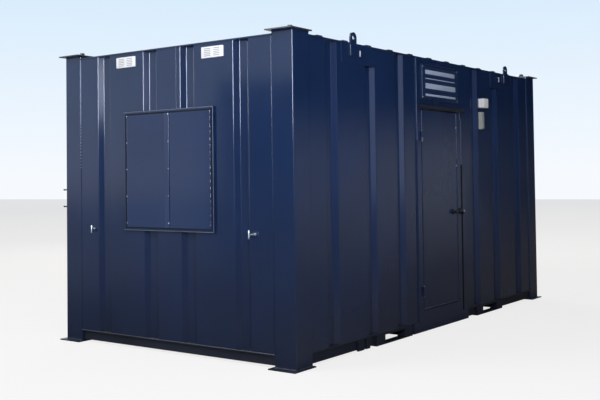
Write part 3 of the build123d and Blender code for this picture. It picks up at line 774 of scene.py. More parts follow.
class CABIN_OT_shutters(bpy.types.Operator):
    """Build the shutters' hinges, rivets, strip bolts and rounded surrounds"""

    bl_idname = "cabin.shutters"
    bl_label = "Shutter Hardware"

    def execute(self, context):
        fittings = context.scene.cabin_fittings
        low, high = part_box("shutter_leaves")
        strip_low, strip_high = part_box("cover_strips")
        leaf_out, strip_out = high.x - half_length, strip_high.x - half_length
        strip_edge = strip_low.y + half_width
        first_rivet, first_bolt, last_bolt = 32 * MM, 40 * MM, 10 * MM
        count = fittings.strip_bolt_count
        bolt_pitch = (strip_high.z - strip_low.z - (first_bolt + last_bolt)) / (count - 1)
        hinges, zinc_heads, folds, seals = bmesh.new(), bmesh.new(), bmesh.new(), bmesh.new()
        for side in END_SIDES:
            # Front and back hinge lines: place, how far out, radius and whether washers show
            for line, out, radius, washers in (
                    (low.y + half_width + 5 * MM, leaf_out, 6, True),
                    (high.y + half_width - 3 * MM, leaf_out - 3 * MM, 3.5, False)):
                self.add_hinge(hinges, folds if washers else None, side, line, out,
                               (low.z, high.z), fittings.knuckle_length, radius)
                height = low.z + first_rivet
                while height < high.z:
                    add_dome(zinc_heads, *facing(side, line, out + 0.8 * radius * MM, height), 3.5)
                    height += fittings.rivet_pitch
            for number in range(count):
                add_dome(zinc_heads, *facing(side, strip_edge + 8 * MM, strip_out,
                                             strip_low.z + first_bolt + number * bolt_pitch), 4.5)
            wall_rod(folds, side, (strip_edge + 1 * MM, strip_out - 2 * MM, strip_low.z + 3 * MM),
                     (strip_edge + 1 * MM, strip_out - 2 * MM, strip_high.z - 3 * MM), 3, 16, 1)
            self.add_surround(folds, seals, side, low, high)
        save_piece(hinges, "shutter_hinge_knuckles", "cabin", "navy_paint", "leaf")
        save_piece(zinc_heads, "shutter_rivets_and_bolts", "cabin", "galvanised_steel", "zinc")
        save_piece(folds, "shutter_folds", "cabin", "navy_paint", "cover", "edge")
        save_piece(seals, "shutter_gap_shade", "cabin", "grey_plastic", "rubber")
        return {"FINISHED"}

    def add_hinge(self, hinges, folds, side, across, out, height, length, radius):
        """A line of hinge knuckles on a pin, and, where folds is given, washers between them in the
        paler enamel as a painted highlight.
        """
        low, high = height
        count = round((high - low) / length)
        pitch = (high - low) / count

        def rod(bm, bottom, top, *shape):
            wall_rod(bm, side, (across, out, bottom), (across, out, top), *shape)

        for number in range(count):
            start = low + number * pitch
            rod(hinges, start + 0.8 * MM, start + pitch - 0.8 * MM, radius, 12, 0.7)
        rod(hinges, low, high, 0.6 * radius, 8)
        if folds is not None:
            for number in range(1, count):
                level = low + number * pitch
                rod(folds, level - 2.5 * MM, level + 2.5 * MM, radius + 0.8, 12, 0.6, 1)

    def add_surround(self, folds, seals, side, leaf_low, leaf_high):
        """Round edge of the surround along its front, top and bottom, in the paler enamel as a
        painted highlight, and black strips that fill the gap round the leaves and line the frame
        beside the near gap, as painted shade."""
        low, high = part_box("shutter_frames")
        radius, frame_out = 3.2, high.x - half_length
        edge = radius * MM
        left, right = inset((low.y + half_width, high.y + half_width), edge)
        bottom, top = inset((low.z, high.z), edge)
        corners = [(across, frame_out - 1 * MM, height) for across, height in
                   ((right, bottom), (left, bottom), (left, top), (right, top))]
        for first, second in zip(corners, corners[1:]):
            wall_rod(folds, side, first, second, radius, 16, 0, 1)
        for corner in corners:
            add_turned(folds, *facing(side, *corner),
                       ((0, 0), (0, radius), (0.5 * radius, 0.87 * radius),
                        (0.87 * radius, 0.5 * radius), (radius, 0)), 16, 1)
        gap, lip = leaf_low.y - low.y - 19 * MM, 8 * MM
        near, far = leaf_low.y + half_width, leaf_high.y + half_width
        whole = (leaf_low.z - gap, leaf_high.z + gap)
        seal_out = leaf_high.x - half_length + 1 * MM
        # Black strips in the gaps round the leaves, and one on the frame's face beside the near
        # gap: painted shade.
        for across, height, front in (
                ((near - gap, near), whole, seal_out), ((far, far + gap), whole, seal_out),
                ((near, far), (leaf_low.z - gap, leaf_low.z), seal_out),
                ((near, far), (leaf_high.z, leaf_high.z + gap), seal_out),
                ((near - gap - lip, near - gap), whole, frame_out + 0.5 * MM)):
            wall_block(seals, side, across, (end_out, front), height)


class CABIN_OT_catches(bpy.types.Operator):
    """Build the T-shaped catches that hold the open shutters, and the pegs of the rear post"""

    bl_idname = "cabin.catches"
    bl_label = "Shutter Catches"

    def execute(self, context):
        low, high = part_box("shutter_catches")
        height = (low.z + high.z) / 2
        bar_radius, base_half, lean = 8, 35 * MM, 25 * MM
        bar_out, plate_out = high.x - half_length - bar_radius * MM, end_out + 5 * MM
        bm = bmesh.new()
        for side in END_SIDES:
            for across, towards in ((low.y + base_half + half_width, 1),
                                    (high.y - base_half + half_width, -1)):
                add_plate(bm, side, around(across, base_half), (end_out, plate_out),
                          around(height, 22 * MM), 7, 1, 1)
                for bolt in around(across, 25 * MM):
                    add_dome(bm, *facing(side, bolt, plate_out, height), 5.5, 1)
                add_turned(bm, *facing(side, across, end_out + 4.5 * MM, height),
                           ((0, 0), (0, 13), (3, 12), (8, 9), (10, 7), (10, 0)), 20)
                bar = across + towards * lean
                wall_rod(bm, side, (across, end_out + 8 * MM, height), (bar, bar_out, height), 7)
                wall_rod(bm, side, (bar, bar_out, low.z), (bar, bar_out, high.z), bar_radius, 16,
                         5.5)
        catches = save_piece(bm, "shutter_catch_set", "cabin", "galvanised_steel", "zinc", "enamel")
        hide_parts("shutter_catches")

        low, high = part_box("post_pegs")
        across, radius = (low.x + high.x) / 2 + half_length, (high.x - low.x) / 2
        size = radius / MM
        bm = bmesh.new()
        for level in inset((low.z, high.z), radius):
            add_turned(bm, *facing("back", across, 0, level),
                       ((0, 0), (0, size * 1.5), (3, size * 1.25), (5, size * 0.8),
                        (46, size * 0.8), (50, size), (57, size), (60, size * 0.75), (60, 0)), 20)
        pegs = save_piece(bm, "turned_post_pegs", "cabin", "galvanised_steel", "rail")
        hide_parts("post_pegs")
        return {"FINISHED"}


class CABIN_OT_lock(bpy.types.Operator):
    """Build the knob, the sliding bar and the ring keep of the door lock"""

    bl_idname = "cabin.lock"
    bl_label = "Door Lock"

    def execute(self, context):
        forward = Vector((0, -1, 0))
        low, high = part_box("door_knob")
        level = (low.z + high.z) / 2
        centre = Vector(((low.x + high.x) / 2, high.y, level))
        bm = bmesh.new()
        add_turned(bm, centre, forward,
                   ((0, 0), (0, 31), (5, 31), (8, 28.5), (9, 14), (12, 11.5), (20, 11), (24, 14),
                    (27, 20), (31, 23), (36, 23), (40, 20), (42, 14), (41, 9), (41, 0)), 36)
        add_block(bm, centre + Vector((-5, -41.6, -1)) * MM, centre + Vector((5, -40.5, 1)) * MM,
                  material=1)
        for angle in map(math.radians, (45, 165, 285)):
            spot = Vector((math.cos(angle), 0, math.sin(angle))) * 22 * MM
            add_screw(bm, centre + spot + forward * 8 * MM, forward, 2.8, 1)
        knob = save_piece(bm, "door_knob_turned", "door", "black_metal", "black", "zinc")
        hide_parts("door_knob")

        low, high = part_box("lock_bar")
        y = high.y - 24 * MM
        bm = bmesh.new()
        add_rod(bm, (low.x, y, level), (high.x, y, level), 7, 20, 1.5)
        add_plate(bm, "front", (low.x + half_length, low.x + half_length + 22 * MM),
                  (0, high.y - low.y), (low.z, high.z), 3, 4)
        add_rod(bm, (low.x + 36 * MM, y, level), (low.x + 42 * MM, y, level), 8.5, 20, 1.2)
        bar = save_piece(bm, "sliding_lock_bar", "door", "black_metal", "black")
        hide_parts("lock_bar")

        low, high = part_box("lock_keep")
        centre = Vector(((low.x + high.x) / 2, high.y, level))
        bm = bmesh.new()
        add_turned(bm, centre, forward,
                   ((0, 0), (0, 31), (22, 31), (30, 28), (34, 23), (34, 15), (32, 14), (32, 0)), 36)
        add_turned(bm, centre + forward * 31 * MM, forward,
                   ((0, 0), (0, 13), (7, 13), (8.5, 11.5), (8.5, 0)), 28, 1)
        add_block(bm, centre + Vector((-1.2, -40, -6)) * MM, centre + Vector((1.2, -38.5, 6)) * MM)
        keep = save_piece(bm, "lock_keep_turned", "cabin", "black_metal", "black", "zinc")
        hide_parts("lock_keep")
        return {"FINISHED"}


class CABIN_OT_door(bpy.types.Operator):
    """Build the door's hinge pins, screws, hems, seals, lining and inner knob"""

    bl_idname = "cabin.door"
    bl_label = "Door Fittings"

    def execute(self, context):
        leaf_low, leaf_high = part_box("door_leaf")
        self.add_hinges(leaf_low, leaf_high)
        self.add_folds(leaf_low, leaf_high)

        stop_low, stop_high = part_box("door_stops")
        back, front, seal_top = stop_low.y, stop_low.y - 4 * MM, stop_high.z - 10 * MM
        left, right = inset((leaf_low.x, leaf_high.x), 2 * MM)
        bm = bmesh.new()
        for start, end, bottom in ((left, left + 8 * MM, stop_low.z + 12 * MM),
                                   (right - 8 * MM, right, stop_low.z + 12 * MM),
                                   (left, right, stop_high.z - 18 * MM)):
            add_block(bm, (start, front, bottom), (end, back, seal_top), 1.5)
        save_piece(bm, "door_weather_seal", "cabin", "grey_plastic", "rubber")

        bm = bmesh.new()
        lining_face = leaf_high.y + 4 * MM
        add_block(bm, (leaf_low.x + 30 * MM, leaf_high.y, leaf_low.z + 32 * MM),
                  (leaf_high.x - 30 * MM, lining_face, leaf_high.z - 28 * MM), 1)
        save_piece(bm, "door_inner_lining", "door", "ceiling_board", "lining")
        low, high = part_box("door_knob")
        bm = bmesh.new()
        add_turned(bm, ((low.x + high.x) / 2, lining_face, (low.z + high.z) / 2), (0, 1, 0),
                   ((0, 0), (0, 25), (4, 25), (6, 22), (7, 10), (22, 9), (25, 17), (29, 20),
                    (36, 20), (40, 16), (41, 0)), 28)
        save_piece(bm, "door_inner_knob", "door", "black_metal", "black")
        return {"FINISHED"}

    def add_hinges(self, leaf_low, leaf_high):
        """Pins, end caps and screws of both hinges, bright caps under the upper one, and bright
        studs down the leaf's free edge."""
        low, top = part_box("frame_hinges")[0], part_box("leaf_hinges")[1].z
        axis_x, axis_y = frame["joints"][0]["pos_m"][:2]
        forward, barrel_half, pin_half = (0, -1, 0), 50 * MM, 53 * MM
        fixed, riding = bmesh.new(), bmesh.new()
        for middle in (low.z + barrel_half, top - barrel_half):
            add_rod(fixed, (axis_x, axis_y, middle - pin_half), (axis_x, axis_y, middle + pin_half),
                    4.6, 14, 0.8)
            for end in (-1, 1):
                add_turned(fixed, (axis_x, axis_y, middle + end * barrel_half), (0, 0, end),
                           ((0.2, 0), (0.2, 7.5), (1.5, 7), (3, 4), (3.2, 0)), 16)
            for offset in (-38 * MM, -14 * MM):
                add_screw(fixed, (low.x + 10 * MM, -half_width - 5 * MM, middle + offset), forward,
                          4, 1, 1)
                add_screw(riding, (leaf_low.x + 17 * MM, -half_width - 8 * MM, middle - offset),
                          forward, 4, 1, 1)
        for drop in (28 * MM, 48 * MM):
            add_dome(fixed, (axis_x, -half_width - 19 * MM, top - 48 * MM - drop), forward, 9)
        for stud_height, radius in ((1.998, 8), (1.607, 7)):
            add_dome(riding, (leaf_high.x - 9 * MM, -half_width, stud_height), forward, radius)
        save_piece(fixed, "hinge_pins_and_screws", "cabin", "galvanised_steel", "zinc", "enamel")
        save_piece(riding, "leaf_hinge_screws", "door", "galvanised_steel", "zinc", "enamel")

    def add_folds(self, leaf_low, leaf_high):
        """Rounded hems on the edges of the leaf and of its frame, partly in the paler enamel as a
        painted highlight, and a black strip down the frame's right edge as painted shade.
        """
        radius, edge, gap, y = 4, 4 * MM, 8 * MM, -half_width
        shade_strip_top = 1.62
        surround_highlight_from, hinge_side_highlight_from, free_side_highlight_from = 1.85, 1.87, 1.68
        frame_low, frame_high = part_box("door_jambs")
        drip_bottom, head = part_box("drip_rail")[0].z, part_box("door_head")[0].z
        right_edge = frame_high.x + half_length
        surround, leaf, joint = bmesh.new(), bmesh.new(), bmesh.new()
        left, right = inset((leaf_low.x, leaf_high.x), edge)
        bottom, top = inset((leaf_low.z, leaf_high.z), edge)

        # Upright hems are in navy enamel below a height and in the paler enamel above it, a painted
        # highlight
        for bm, x, low, highlight_from, high in (
                (surround, frame_low.x + edge, wall_bottom, surround_highlight_from, wall_top),
                (leaf, left, bottom, hinge_side_highlight_from, top),
                (leaf, right, bottom, free_side_highlight_from, top)):
            add_rod(bm, (x, y, low), (x, y, highlight_from), radius)
            add_rod(bm, (x, y, highlight_from), (x, y, high), radius, material=1)
        # Strips of the paler enamel down the frame's right edge, above the black strip and under
        # the drip rail: painted highlight.
        for width, foot in ((16 * MM, shade_strip_top), (34 * MM, drip_bottom - 80 * MM)):
            add_plate(surround, "front", (right_edge - width, right_edge), (-2 * MM, 2 * MM),
                      (foot, drip_bottom), 4, 0.8, 1)
        for x in (leaf_low.x - gap - edge, leaf_high.x + gap + edge):
            add_rod(surround, (x, y + edge, floor_level), (x, y + edge, head + edge), radius)
        # The bottom hem of the leaf is in the paler enamel, a painted highlight; the top one is
        # navy.
        for z, shade in ((bottom, 1), (top, 0)):
            add_rod(leaf, (left, y, z), (right, y, z), radius, 16, 1, shade)
        # Black strip down the frame's right edge up to its given top: painted shade along the
        # frame's edge.
        wall_block(joint, "front", (right_edge - 22 * MM, right_edge + 6 * MM), (-2 * MM, 1.5 * MM),
                   (wall_bottom, shade_strip_top), 1)
        save_piece(surround, "door_frame_folds", "cabin", "navy_paint", "enamel", "edge")
        save_piece(leaf, "door_leaf_folds", "door", "navy_paint", "enamel", "edge")
        save_piece(joint, "door_frame_shade_strip", "cabin", "grey_plastic", "rubber")


class CABIN_OT_sign(bpy.types.Operator):
    """Build the blank sign board over the door"""

    bl_idname = "cabin.sign"
    bl_label = "Sign Board"

    def execute(self, context):
        across, upright, face = front_box("sign_plate")
        bm = bmesh.new()
        part, front = wall_plate("front", across, (0, face), upright, 8, 1)
        bmesh.ops.inset_region(part, faces=[front], thickness=8 * MM)
        for rim in bmesh.ops.inset_region(part, faces=[front], thickness=4 * MM)["faces"]:
            rim.material_index = 1
        join(bm, part)
        width, height = across[1] - across[0], upright[1] - upright[0]
        # Blank strips: start and end over the width, top and bottom from the board's top
        for start, end, top, bottom in ((0.10, 0.90, 0.15, 0.27), (0.10, 0.90, 0.385, 0.41),
                                        (0.10, 0.92, 0.53, 0.68), (0.10, 0.92, 0.83, 0.89)):
            add_plate(bm, "front", (across[0] + start * width, across[0] + end * width),
                      (face - 1 * MM, face + 0.8 * MM),
                      (upright[1] - bottom * height, upright[1] - top * height), 3, 0.4, 1)
        for x in inset(across, 24 * MM):
            for z in inset(upright, 24 * MM):
                add_dome(bm, *facing("front", x, face, z), 6, 1)
        board = save_piece(bm, "blank_sign_board", "cabin", "sign_board", "sign", "strip")
        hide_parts("sign_plate")
        return {"FINISHED"}


class CABIN_OT_service_boxes(bpy.types.Operator):
    """Build the white supply box and the grey cable inlet beside the door"""

    bl_idname = "cabin.service_boxes"
    bl_label = "Service Boxes"

    def execute(self, context):
        across, upright, depth = front_box("supply_box")
        split = depth - 18 * MM
        bm = bmesh.new()
        add_plate(bm, "front", inset(across, 2 * MM), (long_out, split - 1.5 * MM),
                  inset(upright, 2 * MM), 6)
        # The thin inset plate between box and lid is in the darker grey-brown plastic: painted
        # shade in the lid's seam.
        add_plate(bm, "front", inset(across, 4 * MM), (split - 2 * MM, split),
                  inset(upright, 4 * MM), 5, 0, 1)
        add_plate(bm, "front", across, (split, depth), upright, 9, 4)
        for x in inset(across, 11 * MM):
            for z in inset(upright, 11 * MM):
                add_screw(bm, *facing("front", x, depth, z), 3.5, 1)
        supply = save_piece(bm, "supply_box_lidded", "cabin", "white_plastic", "ivory", "slot")
        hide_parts("supply_box")

        across, (foot, head), depth = front_box("inlet_box")
        hinge = head - 40 * MM
        bm = bmesh.new()
        add_plate(bm, "front", across, (long_out, 4 * MM), (foot, head), 8, 1)
        add_plate(bm, "front", inset(across, 2 * MM), (2 * MM, depth - 2 * MM),
                  (hinge + 2 * MM, head - 2 * MM), 9, 5)
        add_plate(bm, "front", inset(across, 2 * MM), (2 * MM, depth - 1 * MM),
                  (foot + 3 * MM, hinge - 2 * MM), 8, 5)
        left, right = inset(across, 8 * MM)
        wall_rod(bm, "front", (left, depth - 8 * MM, hinge), (right, depth - 8 * MM, hinge), 4, 12,
                 1, 1)
        middle = (across[0] + across[1]) / 2
        add_plate(bm, "front", around(middle, 9 * MM), (depth - 2 * MM, depth),
                  (foot + 14 * MM, hinge - 14 * MM), 4, 1)
        add_screw(bm, *facing("front", middle, depth - 2 * MM, head - 20 * MM), 4, 1)
        inlet = save_piece(bm, "cable_inlet_hood", "cabin", "grey_plastic", "grey", "slot")
        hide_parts("inlet_box")
        return {"FINISHED"}


class CABIN_OT_roof(bpy.types.Operator):
    """Fix the roof sheet with domed screw heads, and rivet its edge flashing"""

    bl_idname = "cabin.roof"
    bl_label = "Roof Fixings"

    def execute(self, context):
        rib_first, rib_pitch, rib_count = 0.420, 0.377, 11
        screw_rows, screw_pitch, rivet_pitch = 5, 0.60, 0.3
        sheet_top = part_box("roof_sheet")[1].z
        edge_low, edge_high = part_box("roof_edge")
        level = (edge_low.z + edge_high.z) / 2
        zinc_heads, painted = bmesh.new(), bmesh.new()
        for rib in range(rib_count):
            x = rib_first + rib * rib_pitch - half_length
            for row in range(screw_rows):
                y = (row - screw_rows // 2) * screw_pitch
                add_dome(zinc_heads, (x, y, sheet_top), (0, 0, 1), 7, height=5)
        for side in LONG_SIDES + END_SIDES:
            length = wall_span(side)[0]
            out = (edge_high.y - half_width) if side in LONG_SIDES else (edge_high.x - half_length)
            count = round((length - 2 * post_size) / rivet_pitch)
            for number in range(count + 1):
                across = post_size + (length - 2 * post_size) * number / count
                add_dome(painted, *facing(side, across, out, level), 3.5)
        save_piece(zinc_heads, "roof_screws", "cabin", "galvanised_steel", "zinc")
        save_piece(painted, "flashing_rivets", "cabin", "navy_paint", "enamel")
        return {"FINISHED"}


class CABIN_OT_lining(bpy.types.Operator):
    """Line the room with boards, joint strips and skirting, and cover the floor"""

    bl_idname = "cabin.lining"
    bl_label = "Room Lining"

    def execute(self, context):
        fittings = context.scene.cabin_fittings
        thick, width = fittings.board_thickness, fittings.board_width
        post_x, post_y = half_length - post_size, half_width - post_size
        inner_x, inner_y = post_x - thick, post_y - thick
        boards, strips, floor = bmesh.new(), bmesh.new(), bmesh.new()
        low, high = floor_level, ceiling_level
        stop_low, stop_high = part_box("door_stops")
        door = (stop_low.x + 20 * MM, stop_high.x - 20 * MM, low, stop_high.z - 20 * MM)
        window_low, window_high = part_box("window_frames")
        window = (window_low.y, window_high.y, window_low.z, window_high.z)
        strip_half, strip_deep, door_trim, window_trim = 15 * MM, 2 * MM, 55 * MM, 40 * MM

        for face, towards, opening in ((-room_y, 1, door), (room_y, -1, None)):
            for start, end, bottom, top in self.boards(-inner_x, inner_x, low, high, opening):
                add_block(boards, (start, face, bottom), (end, face + towards * thick, top))
            near, far = face + towards * thick, face + towards * (thick + strip_deep)
            for joint in self.joints(-post_x, post_x, opening, width):
                left, right = around(joint, strip_half)
                add_block(strips, (left, near, low), (right, far, high), 0.7)
        for face, towards in ((-room_x, 1), (room_x, -1)):
            near = face + towards * thick
            for start, end, bottom, top in self.boards(-inner_y, inner_y, low, high, window):
                add_block(boards, (face, start, bottom), (near, end, top))
            self.add_trim(strips, "x", (near, face + towards * (thick + 6 * MM)), window,
                          window_trim, True)
        trim_face = -room_y + thick
        self.add_trim(strips, "y", (trim_face, trim_face + 8 * MM), door, door_trim, False)

        # Casings of the four posts
        for x_sign in (-1, 1):
            for y_sign in (-1, 1):
                for first, second in (((post_x, inner_y), (inner_x, room_y)),
                                      ((room_x, post_y), (inner_x, inner_y))):
                    add_block(boards, (x_sign * first[0], y_sign * first[1], low),
                              (x_sign * second[0], y_sign * second[1], high))

        # Ceiling boards and floor sheet, between the posts and out to the end walls
        for bm, bottom, top in ((boards, high - thick, high), (floor, low, low + 2 * MM)):
            add_block(bm, (-inner_x, -room_y, bottom), (inner_x, room_y, top))
            for sign in (-1, 1):
                add_block(bm, (sign * inner_x, -inner_y, bottom), (sign * room_x, inner_y, top))
        joint = -post_x + width
        while joint < post_x:
            left, right = around(joint, strip_half)
            add_block(strips, (left, -room_y, high - thick - strip_deep),
                      (right, room_y, high - thick), 0.7)
            joint += width

        skirt_low, skirt_top, skirt_deep = low + 2 * MM, low + 62 * MM, 10 * MM
        for start, end, towards, face in ((-post_x, door[0] - door_trim, 1, -room_y),
                                          (door[1] + door_trim, post_x, 1, -room_y),
                                          (-post_x, post_x, -1, room_y)):
            add_block(strips, (start, face + towards * thick, skirt_low),
                      (end, face + towards * (thick + skirt_deep), skirt_top), 1.5)
        for towards, face in ((1, -room_x), (-1, room_x)):
            add_block(strips, (face + towards * thick, -post_y, skirt_low),
                      (face + towards * (thick + skirt_deep), post_y, skirt_top), 1.5)
        save_piece(boards, "room_lining_boards", "cabin", "ceiling_board", "lining")
        save_piece(strips, "room_trim", "cabin", "white_frame", "frame")
        save_piece(floor, "room_floor_sheet", "cabin", "floor_board", "vinyl")
        return {"FINISHED"}

    def joints(self, start, end, opening, width):
        """Places of the joints between boards, away from an opening."""
        least_board, least_gap = 0.2, 0.1
        found = []
        joint = start + width
        while joint < end - least_board:
            if opening is None or not opening[0] - least_gap < joint < opening[1] + least_gap:
                found.append(joint)
            joint += width
        return found

    def boards(self, start, end, low, high, opening):
        """Rectangles of board over a wall, round an opening."""
        if opening is None:
            return [(start, end, low, high)]
        left, right, bottom, top = opening
        pieces = [(start, left, low, high), (right, end, low, high), (left, right, top, high)]
        if bottom > low:
            pieces.append((left, right, low, bottom))
        return pieces

    def add_trim(self, bm, axis, depth, opening, width, whole):
        """Flat trim round an opening; a doorway has none along the floor."""
        left, right, bottom, top = opening
        foot = bottom - width if whole else bottom
        rows = [(left - width, left, foot, top + width), (right, right + width, foot, top + width),
                (left, right, top, top + width)]
        if whole:
            rows.append((left, right, foot, bottom))
        for start, end, low, high in rows:
            points = [(deep, place, level) if axis == "x" else (place, deep, level)
                      for deep, place, level in zip(depth, (start, end), (low, high))]
            add_block(bm, *points, 1.2)


class CABIN_OT_windows(bpy.types.Operator):
    """Bead and seal the window panes, and fit their handles and inner sills"""

    bl_idname = "cabin.windows"
    bl_label = "Window Fittings"

    def execute(self, context):
        low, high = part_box("window_glass")
        frame_low, frame_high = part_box("window_frames")
        opening, middle = (low.y, high.y, low.z, high.z), (low.z + high.z) / 2
        glass_half, grip_y = 12 * MM, frame_low.y + 28 * MM
        beads, seals, handles = bmesh.new(), bmesh.new(), bmesh.new()
        for sign in (-1, 1):
            for away, face in zip((-1, 1), around(sign * (high.x - glass_half), glass_half)):
                self.add_ring(beads, (face, face + away * 12 * MM), opening, 14 * MM)
                self.add_ring(seals, (face, face + away * 2 * MM), opening, 17 * MM)
            inner = sign * (room_x - 1 * MM)
            rose, stem = inner - sign * 10 * MM, inner - sign * 30 * MM
            add_block(handles, (inner, grip_y - 12 * MM, middle - 35 * MM),
                      (rose, grip_y + 12 * MM, middle + 35 * MM), 3)
            add_rod(handles, (rose, grip_y, middle), (stem, grip_y, middle), 8, 16, 1)
            add_block(handles, (inner - sign * 24 * MM, grip_y - 9 * MM, middle - 110 * MM),
                      (inner - sign * 38 * MM, grip_y + 9 * MM, middle + 12 * MM), 4)
            add_block(beads, (sign * room_x, frame_low.y - 45 * MM, frame_low.z - 22 * MM),
                      (sign * (room_x - 90 * MM), frame_high.y + 45 * MM, frame_low.z), 5)
        save_piece(beads, "window_beads_and_sills", "cabin", "white_frame", "frame")
        save_piece(seals, "window_seals", "cabin", "grey_plastic", "rubber")
        save_piece(handles, "window_handles", "cabin", "white_plastic", "white")
        return {"FINISHED"}

    def add_ring(self, bm, depth, opening, width):
        """Four strips just inside an opening's edges."""
        left, right, bottom, top = opening
        for start, end, low, high in (
                (left, left + width, bottom, top), (right - width, right, bottom, top),
                (left, right, bottom, bottom + width), (left, right, top - width, top)):
            add_block(bm, (depth[0], start, low), (depth[1], end, high), 0.8)


class CABIN_OT_stage(bpy.types.Operator):
    """Set up the floor, sky, lamps, cards and camera"""

    bl_idname = "cabin.stage"
    bl_label = "Stage"

    def execute(self, context):
        stage = context.scene.cabin_stage
        add_floor()
        add_sky(stage)
        add_lamps(stage)
        add_cards()
        add_camera(stage)
        context.scene.view_settings.view_transform = "Standard"
        return {"FINISHED"}


def stage_sheet(name, corners, material):
    """Flat sheet of the stage."""
    bm = bmesh.new()
    bm.faces.new([bm.verts.new(corner) for corner in corners])
    sheet = new_object(bm, name, [material])
    return sheet


def shown_rays(add):
    """One for rays that show the backdrop: from the camera, by gloss or through glass."""
    rays = add("LightPath").outputs
    first = add("Math", (rays["Is Camera Ray"], rays["Is Glossy Ray"]), operation="MAXIMUM")
    return add("Math", (first, rays["Is Transmission Ray"]), operation="MAXIMUM")


def add_floor():
    """Plain pale floor, far wider than the cabin. Part of what is seen of it is its own pale
    colour, and the rest takes the light and shadow."""
    material, add, shader, place = start_material("pale_studio_floor",
                                                  {"Roughness": 0.9, "Specular IOR Level": 0.1})
    tint = add("Mix", (clouds(add, place, 3.0, 1), srgb("#eeedec"), srgb("#f1f0ef")),
               data_type="RGBA")
    set_inputs(shader, {"Base Color": tint})
    distance = add("VectorMath", (place,), operation="LENGTH").outputs["Value"]
    shown = add("Mix", (add("MapRange", (distance, 8, 35)), srgb("#fdfcfb"), srgb("#f1f2f3")),
                data_type="RGBA")
    pale = add("Emission", {"Color": shown, "Strength": 1.0})
    share = add("Math", (shown_rays(add), 0.8), operation="MULTIPLY")
    output = material.node_tree.nodes["Material Output"]
    set_inputs(output, {"Surface": add("MixShader", (share, shader, pale))})
    # The far edge is laid so that the horizon is level and no nearer than 45 m
    stage_sheet("studio_floor", ((-60, -60, 0), (60, -60, 0), (47, -26, 0), (27.5, 115.4, 0),
                                 (-60, 115.4, 0)), material)


def add_sky(stage):
    """Even pale light from all round, and a pale backdrop that is a little bluer overhead."""
    world = bpy.data.worlds.new("pale_sky")
    world.use_nodes = True
    world.node_tree.nodes.clear()
    add = functools.partial(add_node, world.node_tree)
    height = add("SeparateXYZ", (add("TexCoord").outputs["Generated"],)).outputs[2]
    seen = add("Mix", (add("MapRange", (height, 0.0, 0.2)), srgb("#f6faff"), srgb("#d8ecfd")),
               data_type="RGBA")
    backdrop = add("Background", {"Color": seen, "Strength": 1.0})
    light = add("Background", {"Color": srgb("#f3f6fc"), "Strength": stage.sky_strength})
    add("OutputWorld", {"Surface": add("MixShader", (shown_rays(add), light, backdrop))})
    bpy.context.scene.world = world


def add_lamp(name, place, target, power, size, colour):
    """Rectangular soft lamp that points at a target, unseen by the camera."""
    lamp = bpy.data.lights.new(name, "AREA")
    lamp.shape = "RECTANGLE"
    lamp.energy = power
    lamp.size, lamp.size_y = size
    lamp.color = colour[:3]
    holder = bpy.data.objects.new(name, lamp)
    holder.location = place
    holder.rotation_mode = "QUATERNION"
    holder.rotation_quaternion = (Vector(target) - Vector(place)).to_track_quat("-Z", "Y")
    holder.visible_camera = False
    bpy.context.scene.collection.objects.link(holder)
    return holder


def add_lamps(stage):
    """Soft lamps: a key lamp high beyond the window end, a fill lamp over the camera and one behind
    the cabin. Three more show only in gloss: on the bends, in the end wall's groove and on the
    slopes of the front wall's grooves."""
    white, cool = srgb("#ffffff"), srgb("#dfe9ff")
    add_lamp("key_lamp", (-8, 4, 8), (-2.4, 0, 1.6), stage.key_power, (4, 4), white)
    for name, place, target, power, size in (
            ("edge_lamp", (-10, 0.6, 4.1), (-2.4, 0, 2.3), stage.edge_power, (2.4, 3.4)),
            ("groove_lamp", (-7.4, -3.3, 3.0), (-2.4, 0.8, 2.2), stage.groove_power, (1.3, 0.9)),
            ("slope_lamp", (-3.4, -8.0, 2.7), (0.5, -1.4, 1.6), stage.slope_power, (4.2, 3.2))):
        add_lamp(name, place, target, power, size, cool).visible_diffuse = False
    fill = add_lamp("fill_lamp", (-7, -5.6, 4.0), (-2.2, -1.0, 1.3), stage.fill_power, (4, 3.2),
                    cool)
    fill.visible_glossy = False
    add_lamp("back_lamp", (8, 8, 6), (1.5, 0.5, 1.3), stage.back_power, (5, 5), white)


def hide_from_all_but_gloss(sheet):
    """Leave a sheet to be seen in reflections only."""
    sheet.visible_camera = sheet.visible_diffuse = sheet.visible_shadow = False
    sheet.visible_transmission = sheet.visible_volume_scatter = False


def add_card(name, start, end, height, foot, lit, dark, shades=(1.6, 3.0), bottom=0.0):
    """Standing card of the stage, seen only in gloss: it keeps the paint's reflections deep. It
    goes from the mat's colour at its foot to its lit colour, and between the heights in shades to
    its dark one."""
    material, add, shader, place = start_material(name,
                                                  {"Roughness": 0.9, "Specular IOR Level": 0.0})
    level = add("SeparateXYZ", (place,)).outputs[2]
    cloth = add("MapRange", (clouds(add, place, 1.5, 1), 0.3, 0.7, 0.0, 0.06))
    shade = add("Math", (cloth, add("MapRange", (level, *shades))), operation="ADD")
    upper = add("Mix", (shade, srgb(lit), srgb(dark)), data_type="RGBA")
    whole = add("Mix", (add("MapRange", (level, 0.0, 1.1)), srgb(foot), upper), data_type="RGBA")
    set_inputs(shader, {"Base Color": whole})
    corners = ((*start, bottom), (*end, bottom), (*end, height), (*start, height))
    card = stage_sheet(name, corners, material)
    hide_from_all_but_gloss(card)
    return card


